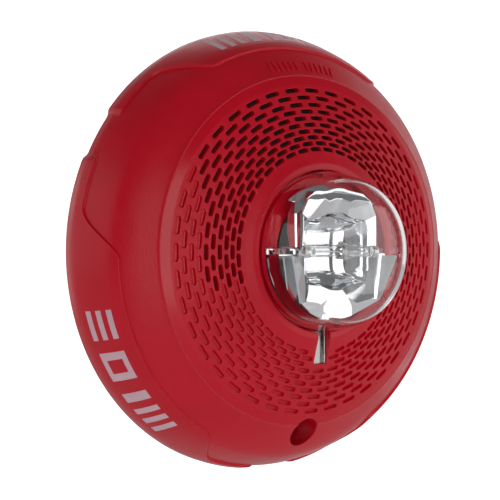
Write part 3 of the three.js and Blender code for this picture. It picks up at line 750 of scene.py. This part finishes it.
# The rim of the bowl, drawn for x >= 0 and mirrored: (x, depth, z).
TOP = [(15.0, 49.2, 1.2), (15.1, 49.3, 6.5), (13.6, 49.4, 11.5), (7.8, 48.5, 12.3), (2.9, 48.9, 14.4), (0.0, 48.9, 14.6)]
LOW = [(0.0, 48.9, -14.2), (2.9, 48.9, -14.0), (7.4, 48.5, -12.3), (13.3, 49.4, -11.7), (15.0, 49.3, -6.5), (15.0, 49.2, -1.2)]
RIM = TOP + [mirror_x(v) for v in TOP[-2::-1]] + [mirror_x(v) for v in LOW[::-1]] + LOW[1:]


def bowl_mesh(pts, faces, per=12, rings=34):
    """The smooth dish from its small end to the faceted rim. Its floor is broad and its ends are rounded. Returns the rim's point numbers by corner."""
    edge = []
    corner = []
    n = len(RIM)
    for i in range(n):
        a, b = np.array(RIM[i]), np.array(RIM[(i + 1) % n])
        corner.append(len(edge))
        edge += [a + (b - a) * k / per for k in range(per)]
    m = len(edge)
    base = len(pts)
    for q in range(rings + 1):
        u = 0.05 + 0.95 * q / rings
        w = smooth(0.62, 1.0, u)
        for e in edge:
            t = math.atan2(e[2] / 14.4, e[0] / 15.1)
            c, s = math.cos(t), math.sin(t)
            k = (abs(c) ** 3.4 + abs(s) ** 3.4) ** (-1 / 3.4)
            x = (15.0 * k * c * (1 - w) + e[0] * w) * u
            z = (13.9 * k * s * (1 - w) + e[2] * w) * u
            side, end = abs(x) / 15.1, abs(z) / 14.5
            floor = FLOOR + 1.1 * side ** 2 + 0.9 * end ** 2
            d = floor + (e[1] - floor) * (1 - (1 - smooth(0.36, 1.12, side) * 0.55 - 0.45 * side ** 9) * (1 - 0.97 * end ** 5.6))
            v = smooth(0.9, 1.0, u)
            pts.append((x, d * (1 - v) + e[1] * v, z))
    for q in range(rings):
        for i in range(m):
            j = (i + 1) % m
            faces.append((base + q * m + i, base + q * m + j, base + (q + 1) * m + j, base + (q + 1) * m + i))
    faces.append(tuple(base + i for i in range(m)))
    return [[base + rings * m + (corner[i] + k) % m for k in range(per + 1)] for i in range(n)]


FLOOR = 38.2
pts, faces = [], []
edges = bowl_mesh(pts, faces)
V = {}


def vert(name, x, d, z):
    V[name] = len(pts)
    pts.append((x, d, z))
    V["-" + name] = len(pts)
    pts.append((-x, d, z))


n_top = len(TOP)
vert("E", 5.2, 51.0, 18.3)
vert("D", 7.3, 51.2, 19.1)
vert("Q", 14.6, 51.2, 18.6)
vert("T", 17.3, 51.0, 13.5)
vert("U", 17.5, 50.9, 1.2)
vert("F", 1.6, 50.4, 19.4)
vert("G", 5.6, 50.0, 22.0)
vert("K", 11.0, 50.4, 21.2)
vert("H", 1.8, 49.4, 22.7)
# wings and chin
vert("W0", 15.4, 50.2, -1.2)
vert("W1", 24.5, 55.3, -1.6)
vert("W4", 18.3, 53.1, -1.5)
vert("W5", 16.9, 52.2, -17.8)
vert("W2", 18.6, 52.4, -18.0)
vert("W3", 15.4, 51.0, -17.6)
vert("D2", 8.4, 50.4, -19.0)
vert("E2", 5.0, 49.8, -17.2)
vert("F2", 1.4, 49.7, -18.2)
vert("L0", 1.6, 49.3, -24.9)
vert("L1", 7.0, 49.4, -24.0)
vert("L2", 12.6, 50.0, -21.6)
vert("M1", 6.6, 49.7, -19.9)


# Rim edges on the +X side, top: corner i to i + 1 for TOP; the mirrored ones follow in reverse.
def rim_run(i):
    """Rim points between TOP[i] and TOP[i + 1] on +X, and their mirrors on -X."""
    n = len(RIM)
    plus = edges[i]
    minus = edges[2 * (n_top - 1) - 1 - i][::-1]
    return plus, minus


def low_run(i):
    """The same between LOW[i] and LOW[i + 1]."""
    start_minus = 2 * (n_top - 1) + 1  # corner number of the mirror of LOW[-1]
    k = len(LOW) - 1
    minus = edges[start_minus + (k - 1 - i)][::-1]
    plus_first = start_minus + k
    plus = edges[plus_first + i]
    return plus, minus


for s, pick in (("", 0), ("-", 1)):
    f = lambda *a: faces.append(tuple(a))
    side, upper, corner_a, corner_b, top = (rim_run(i)[pick] for i in range(5))
    # right wall: (15.0, 1.2) to (15.1, 6.5) to (13.6, 11.5)
    f(*side, *upper[1:], V[s + "T"], V[s + "U"])
    f(upper[-1], V[s + "D"], V[s + "Q"], V[s + "T"])
    f(*corner_a, *corner_b[1:], V[s + "E"], V[s + "D"])
    f(*top, V[s + "F"], V[s + "E"])
    f(V[s + "E"], V[s + "F"], V[s + "H"], V[s + "G"])
    f(V[s + "D"], V[s + "E"], V[s + "G"])
    f(V[s + "D"], V[s + "G"], V[s + "K"])
    f(V[s + "D"], V[s + "K"], V[s + "Q"])
    mid, cb, ca, up, low_side = (low_run(i)[pick] for i in range(5))
    f(*low_side[::-1], *up[::-1][1:], V[s + "W3"], V[s + "W0"])
    f(up[0], V[s + "D2"], V[s + "W3"])
    f(*cb, *ca[1:], V[s + "D2"], V[s + "E2"])
    f(*mid, V[s + "E2"], V[s + "F2"])
    f(V[s + "W0"], V[s + "W3"], V[s + "W5"], V[s + "W4"])
    f(V[s + "W4"], V[s + "W5"], V[s + "W2"], V[s + "W1"])
    f(V[s + "D2"], V[s + "L2"], V[s + "W2"], V[s + "W5"], V[s + "W3"])
    f(V[s + "D2"], V[s + "M1"], V[s + "L1"], V[s + "L2"])
    f(V[s + "E2"], V[s + "M1"], V[s + "D2"])
    f(V[s + "E2"], V[s + "F2"], V[s + "L0"], V[s + "M1"])
    f(V[s + "M1"], V[s + "L0"], V[s + "L1"])
faces.append((V["F"], V["-F"], V["-H"], V["H"]))
t_run = rim_run(4)
faces.append((t_run[0][-1], V["-F"], V["F"]))
l_run = low_run(0)
faces.append((l_run[0][0], V["F2"], V["-F2"]))
faces.append((V["F2"], V["-F2"], V["-L0"], V["L0"]))
# the strips between the upper and lower halves, where the tube's ends stand
for s, pick in (("", 0), ("-", 1)):
    faces.append((rim_run(0)[pick][0], low_run(4)[pick][-1], V[s + "W0"], V[s + "U"]))
shell = make("reflector", pts, faces)
bm = bmesh.new()
bm.from_mesh(shell.data)
bmesh.ops.remove_doubles(bm, verts=bm.verts, dist=1e-6)
bmesh.ops.recalc_face_normals(bm, faces=bm.faces)
up = sum((f.normal * f.calc_area() for f in bm.faces), Vector())
if up.y > 0:
    bmesh.ops.reverse_faces(bm, faces=bm.faces)
bm.to_mesh(shell.data)
bm.free()
m = shell.modifiers.new("edges", "BEVEL")
m.width, m.segments, m.limit_method, m.angle_limit = 0.24 * MM, 2, "ANGLE", math.radians(16)
settle(shell)
m = shell.modifiers.new("wall", "SOLIDIFY")
m.thickness, m.offset, m.use_even_offset = 0.9 * MM, -1.0, True
settle(shell)
flange = slab([(-25.0, -0.9)] + arc(25.0, 183, 357, 48) + [(25.0, -0.9), (17.9, -0.9), (17.9, 17.6), (20.9, 18.1)]
              + [(x, z - 15.6) for x, z in arc(39.7, 58.5, 121.5, 24)] + [(-20.9, 18.1), (-17.9, 17.6), (-17.9, -0.9)], 46.6, 47.5)
hole = slab([(v[0] * 0.97, v[2] * 0.97) for v in RIM], 45, 49)
cut(flange, hole)
bm = bmesh.new()
bm.from_mesh(flange.data)
bmesh.ops.bisect_plane(bm, geom=bm.verts[:] + bm.edges[:] + bm.faces[:], plane_co=(0, 0, 17.9 * MM), plane_no=(0, 0, 1))
for v in bm.verts:  # the visor leans back towards its top
    v.co.y += 0.5 * max(0.0, v.co.z - 17.9 * MM)
bm.to_mesh(flange.data)
bm.free()
# outer walls that carry the front down to the flange
wall = slab([(17.6, 0.5), (17.4, 13.6), (14.8, 18.9), (11.2, 21.5), (5.7, 22.3), (1.8, 23.0), (-1.8, 23.0), (-5.7, 22.3), (-11.2, 21.5), (-14.8, 18.9), (-17.4, 13.6), (-17.6, 0.5)], 42.7, 50.7)
cut(wall, slab([(16.8, -1), (16.6, 13.3), (14.3, 18.2), (10.9, 20.6), (5.5, 21.5), (1.7, 22.1), (-1.7, 22.1), (-5.5, 21.5), (-10.9, 20.6), (-14.3, 18.2), (-16.6, 13.3), (-16.8, -1)], 40, 52))
reflector = merged("reflector", shell, flange, wall)
dress(reflector, "reflector_faceted", "head", MAT["metallised_reflector"], "metallised_reflector", ["reflector"], sharp=7.0)

# ---- clear carrier ----------------------------------------------------------------------
plate_low = slab([(-26.3, 1.2)] + arc(26.3, 183, 357, 48) + [(26.3, 1.2)], 41.4, 43.2)
cut(plate_low, rod(16.2, 40, 45, 0, 0, 96), slab([(-30, -18.6), (-18.6, -30), (18.6, -30), (30, -18.6), (30, -40), (-30, -40)], 40, 45))
for x in (-18.8, 18.8):
    cut(plate_low, box(x - 1.2, x + 1.2, 40, 46, -2, 3))
for s in (-1, 1):
    join(plate_low, box(min(20.4 * s, 25.9 * s), max(20.4 * s, 25.9 * s), 42.8, 45.6, -0.9, 1.1))
cup = cut(rod(17, 31.5, 42.3, 0, 0, 96), rod(15.2, 33.2, 46, 0, 0, 96), rod(0.9, 30, 36, 0, 0, 24))
foot = ring_of(11, 13, 19.9, 31.7, seg=96, e=0.2)
join(cup, foot)
join(plate_low, cup)
dress(plate_low, "carrier_clear", "head", MAT["clear_carrier"], "clear_carrier", ["lamp_carrier"], bevel=0.25)

# ---- flash tube --------------------------------------------------------------------------
TUBE_D = 51.0
tube = bar(2.0, -14.6, 14.6, TUBE_D, 0, 64, 0.5)
cut(tube, bar(1.35, -13.4, 13.4, TUBE_D, 0, 48, 0.9))
dress(tube, "flash_tube_glass", "head", MAT["tube_glass"], "tube_glass", ["flash_tube"], sharp=60)
for name, node, s in (("electrode_left", "tube_electrode_left", -1), ("electrode_right", "tube_electrode_right", 1)):
    cap = bar(2.2, min(14.9 * s, 17.2 * s), max(14.9 * s, 17.2 * s), TUBE_D, 0, 48, 0.35)
    lead = sweep([(16.8 * s, TUBE_D, 0), (18.4 * s, TUBE_D - 0.6, 0.5), (18.8 * s, 48, 1.4), (18.8 * s, 44, 1.6), (18.8 * s, 36, 1.6), (18.8 * s, 19.9, 1.6)], 0.45, 16, 10)
    dress(merged(name, cap, lead), name, "head", MAT["tinned_wire"], "tinned_wire", [node], sharp=50)
coil = []
for k in range(3):
    x = -0.8 + 0.8 * k
    loop = [(x + 0.1 * math.sin(t), TUBE_D + 2.5 * math.cos(t), 2.5 * math.sin(t)) for t in np.linspace(0, 2 * math.pi, 49)]
    coil.append(sweep(loop, 0.33, 12, 1))
lead = sweep([(0, TUBE_D - 2.5, 0), (0, 45, 0), (0, 38, 0), (0, 30, 0), (0, 19.9, 0)], 0.4, 14, 6)
dress(merged("trigger", *coil, lead), "trigger_winding", "head", MAT["tinned_wire"], "tinned_wire", ["trigger_wire"], sharp=50)

# ---- placing helpers for the smaller parts -----------------------------------------------
def shift(ob, x=0.0, d=0.0, z=0.0):
    ob.data.transform(Matrix.Translation((x * MM, -d * MM, z * MM)))
    return ob


def stadium(x, z, along_x, l, r, n=14):
    """Outline of a slot with round ends."""
    right = [(l + r * math.cos(t), r * math.sin(t)) for t in np.linspace(-math.pi / 2, math.pi / 2, n)]
    left = [(-l - r * math.cos(t), -r * math.sin(t)) for t in np.linspace(-math.pi / 2, math.pi / 2, n)]
    return [(x + u, z + v) if along_x else (x - v, z + u) for u, v in right + left]


def round_rect(x0, x1, z0, z1, r, n=6):
    out = []
    for cx, cz, a in ((x1 - r, z1 - r, 0), (x0 + r, z1 - r, 90), (x0 + r, z0 + r, 180), (x1 - r, z0 + r, 270)):
        out += [(cx + r * math.cos(math.radians(a + t)), cz + r * math.sin(math.radians(a + t))) for t in np.linspace(0, 90, n)]
    return out


def thread(r, pitch, d0, d1, wire=0.26, per=20):
    """Helical thread crest along the front-to-back axis."""
    n = int((d1 - d0) / pitch * per)
    return sweep([(r * math.cos(2 * math.pi * k / per), d0 + (d1 - d0) * k / n, r * math.sin(2 * math.pi * k / per)) for k in range(n + 1)], wire, 6, 1)


def finish_node(ob, node, bevel=0.0, slot=None, **how):
    """Dresses ob in the CAD node's own slot and body."""
    o = frame["nodes"][node].parent
    bodies = {e: b for b, e in frame["bodies"].items()}
    while o not in bodies:
        o = o.parent
    name = NODE_SLOT[node]
    return dress(ob, "look_" + node, bodies[o], MAT[name], name, [node], bevel=bevel, **how)


PLATE_T, BOARD_D, BOARD, HORN_C = 2.4, 18.0, 19.9, 38.0
TERMINAL_X, TERMINAL_Z, CONTACT_Z = (-18, -6, 6, 18), 28, 18
KNOB_X, KNOB_Z, POINTER_Z = 34, -14, -31

# wiring plate
base = lathe([(0, 0.35), (30, 0.35), (30.3, 0.0), (78.0, 0), (80.3, 0), (80.8, 0.2), (81, 0.7), (81, 7.1), (80.9, 7.4), (80.6, 7.5), (79.4, 7.5), (79.1, 7.4), (79, 7.1),
              (79, 3.1), (78.8, 2.6), (78.3, 2.4), (62, 2.4), (61.8, 2.9), (61, 2.9), (60.8, 2.4), (0, 2.4)], 192)
join(base, soft_rod(5, 1, 8.1, 0, SCREW_Z, 64, 0.3), box(-1.2, 1.2, 1, 6.5, -80, SCREW_Z - 4.5))
for x in (-26.5, 26.5):
    join(base, box(x - 1.2, x + 1.2, 1, 7, 12, 36))
for x in (-12, 12):
    cut(base, box(x - 4.6, x + 4.6, 1.1, 5.1, 77.5, 84), box(x - 4.6, x + 4.6, 1.1, 5.1, 76.5, 79.2))
cut(base, rod(3.3, 2.9, 10, 0, SCREW_Z, 48), slab(round_rect(-20, 20, -34, -4, 2.0), -1, 4))
for x, z, h in ((44.45, 0, 1), (-44.45, 0, 1), (0, 41.65, 0), (0, -41.65, 0), (41.3, -41.3, 1), (-41.3, -41.3, 1), (41.3, 41.3, 1), (-41.3, 41.3, 1)):
    cut(base, slab(stadium(x, z, h, 3 if x == 0 else 4, 2.3), -1, 4))
    cut(base, slab(stadium(x, z, h, 3 if x == 0 else 4, 3.1), 1.9, 4))
finish_node(base, "mounting_plate", 0.22)
finish_node(ring_of(2.15, 3, 3.2, 8, 0, SCREW_Z, 64, 0.2), "threaded_insert")

# terminals
block = box(-25, 25, PLATE_T + 0.3, 8.6, 13, 35)
for x in TERMINAL_X:
    cut(block, box(x - 4.4, x + 4.4, 6.9, 10, 23.4, 36), rod(1.9, 3.4, 8, x, TERMINAL_Z, 32), box(x - 2.7, x + 2.7, 3.6, 10, CONTACT_Z - 1.3, CONTACT_Z + 1.3))
for x in (-12, 0, 12):
    cut(block, box(x - 0.5, x + 0.5, 7.4, 10, 12, 22.6))
finish_node(block, "terminal_block", 0.25)
for i, x in enumerate(TERMINAL_X, 1):
    clamp = cut(box(-4, 4, 0, 1, -4, 4), rod(1.9, -1, 2, 0, 0, 32))
    for k in range(5):
        cut(clamp, box(-3.4, 3.4, -0.5, 0.18, -3.3 + 0.42 * k - 0.1, -3.3 + 0.42 * k + 0.08))
    finish_node(shift(clamp, x, 7.2, TERMINAL_Z), f"terminal_clamp_{i}", 0.06)
    screw = join(soft_rod(3.1, 8.5, 10.3, 0, 0, 64, 0.35), rod(1.6, 3.8, 8.7, 0, 0, 32))
    cut(screw, box(-3.4, 3.4, 9.6, 11, -0.4, 0.4), box(-0.4, 0.4, 9.6, 11, -2, 2))
    finish_node(shift(screw, x, 0, TERMINAL_Z), f"terminal_screw_{i}", 0.06)
finish_node(join(box(-8, 8, PLATE_T + 0.3, 3.2, 7, 12), box(-1.6, 1.6, 3, 8.7, 7, 7.6), box(-1.6, 1.6, 8.2, 8.7, 7, 11.5)), "shorting_spring", 0.1)

# rear housing
housing = lathe([(0, 12), (75.8, 12), (76.25, 12.2), (76.4, 12.6), (76.4, 16.7), (76.3, 16.92), (76.1, 17), (74.7, 17), (74.5, 16.92), (74.4, 16.7), (74.4, 14.4), (74.1, 14), (0, 14)], 192)
for x, z in ((52, 34), (-52, 34), (58, -22), (-58, -22)):
    join(housing, rod(2.4, 13.5, BOARD_D - 0.3, x, z, 32))
join(housing, soft_rod(2, 9.4, 12.5, 0, 9.5, 40, 0.4))
for r in (30.0, 52.0):
    ring = ring_of(r - 0.6, r + 0.6, 11.45, 12.5, seg=128)
    cut(ring, box(-26, 26, 11, 13, 8, 60), box(-12, 12, 11, 13, -60, -8), box(22, 46, 11, 13, -26, -2))
    join(housing, ring)
cut(housing, rod(7.9, 10, 18, 0, SCREW_Z, 64), box(-7.9, 7.9, 10, 18, -80, SCREW_Z), rod(4.9, 10, 16, KNOB_X, KNOB_Z, 64), box(-2.9, 2.9, 10, 16, -43.4, -27.6))
for x, z in HOUSING_SCREWS:
    cut(housing, rod(1.7, 10, 16, x, z, 32), rod(3.4, 10, 12.8, x, z, 48))
for x in TERMINAL_X:
    cut(housing, box(x - 2.3, x + 2.3, 10, 16, CONTACT_Z - 0.9, CONTACT_Z + 0.9))
finish_node(housing, "rear_housing", 0.15)
for i, (x, z) in enumerate(HOUSING_SCREWS, 1):
    screw = join(soft_rod(2.9, 0, 2, 0, 0, 64, 0.5), rod(1.05, 1.8, 9.5, 0, 0, 24))
    cut(screw, box(-1.9, 1.9, -1, 0.9, -0.35, 0.35), box(-0.35, 0.35, -1, 0.9, -1.9, 1.9))
    finish_node(shift(merged("screw", screw, thread(1.15, 0.8, 2.6, 9.2)), x, 10.5, z), f"housing_screw_{i}", sharp=40)

# circuit board and what is on it
board = rod(71, BOARD_D, BOARD_D + 1.6, 0, 0, 160)
cut(board, rod(8.2, 17, 21, 0, SCREW_Z, 64), box(0.5, 3, 17, 21, -43, -28))
for x, z in HOUSING_SCREWS:
    cut(board, rod(3.8, 17, 21, x, z, 48))
finish_node(board, "circuit_board", 0.12)
finish_node(cut(post(6, -32, -4, -36, BOARD + 6.2, 64, 0.8), cut(shift(post(7, 0, 1.0, -36, BOARD + 6.2, 64, 0.1), 0, 0, -8.4), shift(post(5.5, -1, 3, -36, BOARD + 6.2, 64, 0.1), 0, 0, -8.9))), "flash_capacitor", sharp=40)
finish_node(lathe([(0, BOARD), (7.7, BOARD), (8, BOARD + 0.3), (8, BOARD + 1.3), (7.7, BOARD + 1.6)] + [(5.5 + 0.22 * (k % 2), BOARD + 1.7 + k * 0.29) for k in range(21)] + [(7.7, BOARD + 7.6), (8, BOARD + 7.9), (8, BOARD + 8.9), (7.7, BOARD + 9.2), (0, BOARD + 9.2)], 96, 34, -24), "power_inductor")
finish_node(join(box(14.5, 25.5, BOARD, BOARD + 1.4, -46.5, -37.5), lathe([(0, BOARD + 1.2)] + [(4.1 + 0.12 * (k % 2), BOARD + 1.2 + k * 0.26) for k in range(29)] + [(3.9, BOARD + 9), (0, BOARD + 9)], 72, 20, -42)), "trigger_coil", sharp=40)
for node, x, z, w, h, t in (("controller_chip", 46, -2, 4.6, 4.6, 1.5), ("bridge_rectifier", -20, -44, 4, 3.2, 2.6), ("sounder_driver_chip", -38, 24, 5, 3.2, 1.6)):
    chip = cut(box(x - w, x + w, BOARD, BOARD + t, z - h, z + h), rod(0.55, BOARD + t - 0.15, BOARD + t + 1, x - w + 1.3, z + h - 1.3, 24))
    finish_node(chip, node, 0.15)
for i, x in enumerate(TERMINAL_X, 1):
    finish_node(join(box(x - 1.8, x + 1.8, BOARD_D - 12.7, BOARD_D - 0.3, CONTACT_Z - 0.4, CONTACT_Z + 0.4), box(x - 2.6, x + 2.6, BOARD_D - 1.3, BOARD_D - 0.3, CONTACT_Z - 1.2, CONTACT_Z + 1.2)), f"contact_blade_{i}", 0.1)

# sounder
chamber = lathe([(0, BOARD), (20.2, BOARD), (20.5, BOARD + 0.3), (20.5, 29.9), (20.3, 30.2), (19.1, 30.2), (18.9, 29.9), (18.9, 23), (16.6, 23), (16.6, 21.5), (0, 21.5)], 128, 0, HORN_C)
cut(chamber, box(-4.6, -3.4, 19, 24, HORN_C - 1, HORN_C + 1), box(3.4, 4.6, 19, 24, HORN_C - 1, HORN_C + 1))
finish_node(chamber, "horn_chamber", 0.12)
finish_node(lathe([(0, 23.3), (18.3, 23.3), (18.4, 23.4), (18.4, 23.5), (18.3, 23.6), (0, 23.6)], 128, 0, HORN_C), "piezo_plate")
finish_node(lathe([(0, 22.5), (12.4, 22.5), (12.5, 22.6), (12.5, 22.9), (12.4, 23), (0, 23)], 128, 0, HORN_C), "piezo_ceramic")
finish_node(ring_of(18.9, 20.5, 30.5, 31.2, 0, HORN_C, 128, 0.2), "horn_gasket")
for node, x in (("piezo_contact_left", -4), ("piezo_contact_right", 4)):
    finish_node(box(x - 0.3, x + 0.3, BOARD, 22.2, HORN_C - 0.6, HORN_C + 0.6), node, 0.08)

# tone switch, level selector
finish_node(cut(box(KNOB_X - 6, KNOB_X + 6, 14.4, BOARD_D - 0.3, KNOB_Z - 6, KNOB_Z + 6), rod(4.9, 13, 16.2, KNOB_X, KNOB_Z, 64)), "tone_switch_body", 0.25)
knob = lathe([(0, 0), (3.9, 0), (4.3, 0.15), (4.5, 0.5), (4.5, 4.3), (4.2, 4.6), (0, 4.6)], 96)
cut(knob, box(-3.4, 3.4, -1, 1.4, -0.6, 0.6), box(-1.5, 1.5, -1, 0.7, 2.2, 6))
for k in range(24):
    if k != 6:
        cut(knob, turn(box(4.36, 5, -1, 5, -0.16, 0.16), 15 * k))
finish_node(shift(knob, KNOB_X, 11.3, KNOB_Z), "tone_knob", sharp=30)
finish_node(cut(box(-8, 8, 14.4, BOARD_D - 0.3, -48, -22.5), box(-5.4, 5.4, 14, 17, -46.2, -24.8), box(0.5, 3, 14, 19, -43, -28)), "level_switch_body", 0.25)
slider = join(box(-5, 5, 14.7, 16.6, -3.4, 3.4), box(-2.5, 2.5, 11.2, 15, -2.2, 2.2), box(1.9, 2.7, 16, 38.3, -0.8, 0.8), box(-2.3, 2.7, 37.6, 38.4, -0.8, 0.8))
for k in range(4):
    cut(slider, box(-3, 3, 10.9, 11.6, -1.65 + 1.1 * k - 0.22, -1.65 + 1.1 * k + 0.22))
finish_node(shift(slider, 0, 0, POINTER_Z), "level_slider", 0.15)
finish_node(join(box(-2.4, 1.7, 34.9, 37.3, -42.2, -29.6), box(-2.4, 0.4, 34.7, 35.3, -44.6, -30), box(-2.4, 0.4, BOARD, 35, -44.6, -43.6)), "level_scale", 0.1)

# captive mounting screw
screw = join(lathe([(0, 16.6), (3.8, 16.6), (4, 16.8), (4, 18.2), (3.8, 18.4), (3.3, 18.45), (3.2, 18.6), (3.2, 19.0), (2.9, 19.3), (0, 19.3)], 96), lathe([(0, 4), (1.2, 4), (1.7, 4.6), (1.7, 17), (0, 17)], 64))
cut(screw, box(-2.2, 2.2, 17.6, 21, -0.45, 0.45), box(-0.45, 0.45, 17.6, 21, -2.2, 2.2))
finish_node(shift(merged("screw", screw, thread(1.62, 0.794, 4.6, 15.4, 0.22)), 0, 0, SCREW_Z), "mounting_screw", sharp=40)
finish_node(ring_of(2.15, 4, 8.5, 9.2, 0, SCREW_Z, 96, 0.15), "retaining_washer")

# ---- other CAD nodes keep their shape and get their finish ---------------------------------
for name, node in frame["nodes"].items():
    if node.hide_render:
        continue
    node.data.materials.clear()
    node.data.materials.append(MAT[NODE_SLOT[name]])

# ---- stage -----------------------------------------------------------------------------------
CAM = Vector((-290.951, -394.469, 6.980)) * MM
RIGHT = Vector((0.80821638, -0.58888129, 0.00225896))
UP = Vector((0.00664682, 0.01295812, 0.99989395))
FWD = Vector((0.58884811, 0.80811565, -0.01438716))
cam = bpy.data.objects.new("camera", bpy.data.cameras.new("camera"))
SCENE.collection.objects.link(cam)
cam.matrix_world = Matrix(((RIGHT.x, UP.x, -FWD.x, CAM.x), (RIGHT.y, UP.y, -FWD.y, CAM.y), (RIGHT.z, UP.z, -FWD.z, CAM.z), (0, 0, 0, 1)))
cam.data.sensor_width = 36.0
cam.data.sensor_height = 36.0
cam.data.lens = 1225.94 / 500 * 36.0
cam.data.clip_start, cam.data.clip_end = 0.01, 20
SCENE.camera = cam

# a pale floor that curves up into a backdrop behind the object, with a painted pool of light on it
flat_fwd = Vector((FWD.x, FWD.y, 0)).normalized()
flat_right = Vector((flat_fwd.y, -flat_fwd.x, 0))
prof = [(-4.0, -0.34), (1.2, -0.34)] + [(1.2 + 0.9 * math.sin(t), -0.34 + 0.9 * (1 - math.cos(t))) for t in np.linspace(0, math.pi / 2, 17)[1:]] + [(2.1, 3.2)]
verts, fcs = [], []
for k, (f, z) in enumerate(prof):
    for r in (-4.0, 4.0):
        p = flat_fwd * f + flat_right * r
        verts.append((p.x, p.y, z))
for k in range(len(prof) - 1):
    fcs.append((2 * k, 2 * k + 1, 2 * k + 3, 2 * k + 2))
me = bpy.data.meshes.new("floor")
me.from_pydata(verts, [], fcs)
for p in me.polygons:
    p.use_smooth = True
floor = bpy.data.objects.new("floor", me)
SCENE.collection.objects.link(floor)
backdrop, bt, bout = tree("backdrop")
bsdf = bt.nodes.new("ShaderNodeBsdfPrincipled")
bsdf.inputs["Base Color"].default_value = (0.72, 0.72, 0.72, 1)
bsdf.inputs["Roughness"].default_value = 0.9
# painted light: the emission rises from 0.14 at the front and sides to 1.0 on the backdrop behind the object, with a
# soft edge to each side
where = bt.nodes.new("ShaderNodeNewGeometry")
along = bt.nodes.new("ShaderNodeVectorMath")
along.operation = "DOT_PRODUCT"
along.inputs[1].default_value = flat_fwd
bt.links.new(where.outputs["Position"], along.inputs[0])
across = bt.nodes.new("ShaderNodeVectorMath")
across.operation = "DOT_PRODUCT"
across.inputs[1].default_value = flat_right
bt.links.new(where.outputs["Position"], across.inputs[0])
wide = bt.nodes.new("ShaderNodeMath")
wide.operation = "ABSOLUTE"
bt.links.new(across.outputs["Value"], wide.inputs[0])
lit = bt.nodes.new("ShaderNodeMath")
lit.operation = "MULTIPLY_ADD"
glow = bt.nodes.new("ShaderNodeMath")
glow.operation = "MULTIPLY"
bt.links.new(spread(bt, along.outputs["Value"], 0.0, 1.0, 0.5, 1.1), glow.inputs[0])
bt.links.new(spread(bt, wide.outputs[0], 1.0, 0.12, 0.57, 0.75), glow.inputs[1])
bt.links.new(glow.outputs[0], lit.inputs[0])
lit.inputs[1].default_value, lit.inputs[2].default_value = 0.86, 0.14
bt.links.new(lit.outputs[0], bsdf.inputs["Emission Strength"])
bsdf.inputs["Emission Color"].default_value = (1, 1, 1, 1)
bt.links.new(bsdf.outputs["BSDF"], bout.inputs["Surface"])
floor.data.materials.append(backdrop)

world = bpy.data.worlds.new("studio")
world.use_nodes = True
wt = world.node_tree
wt.nodes["Background"].inputs["Color"].default_value = (1, 1, 1, 1)
wt.nodes["Background"].inputs["Strength"].default_value = 0.14
SCENE.world = world


def lamp(name, place, target, size, power, colour=(1, 1, 1)):
    l = bpy.data.lights.new(name, "AREA")
    l.shape = "RECTANGLE"
    l.size, l.size_y = size
    l.energy = power
    l.color = colour
    o = bpy.data.objects.new(name, l)
    SCENE.collection.objects.link(o)
    o.location = place
    o.rotation_euler = (Vector(target) - Vector(place)).to_track_quat("-Z", "Y").to_euler()
    return o


def soft(name, direction, distance, size, radiance, colour=(1, 1, 1)):
    """A softbox by direction from the object; its power follows from how bright it looks."""
    d = Vector(direction).normalized()
    return lamp(name, d * distance, (0, 0, 0), size, radiance * math.pi * size[0] * size[1], colour)


def aim(azimuth, elevation):
    """Direction by degrees right of the front and above the horizon."""
    a, e = math.radians(azimuth), math.radians(elevation)
    return (math.sin(a) * math.cos(e), -math.cos(a) * math.cos(e), math.sin(e))


soft("key", aim(-22, 3), 1.15, (0.8, 0.9), 1.95)
soft("right_front", aim(48, 0), 1.15, (0.7, 0.8), 1.3)
soft("left_edge", aim(-114, 12), 1.15, (1.3, 0.9), 0.66)
soft("back_left", aim(-157, 0), 1.3, (0.5, 0.9), 1.4)
soft("right_edge", aim(99, 16), 1.15, (0.66, 0.9), 0.38)

SCENE.view_settings.view_transform = "Standard"
SCENE.view_settings.look = "None"
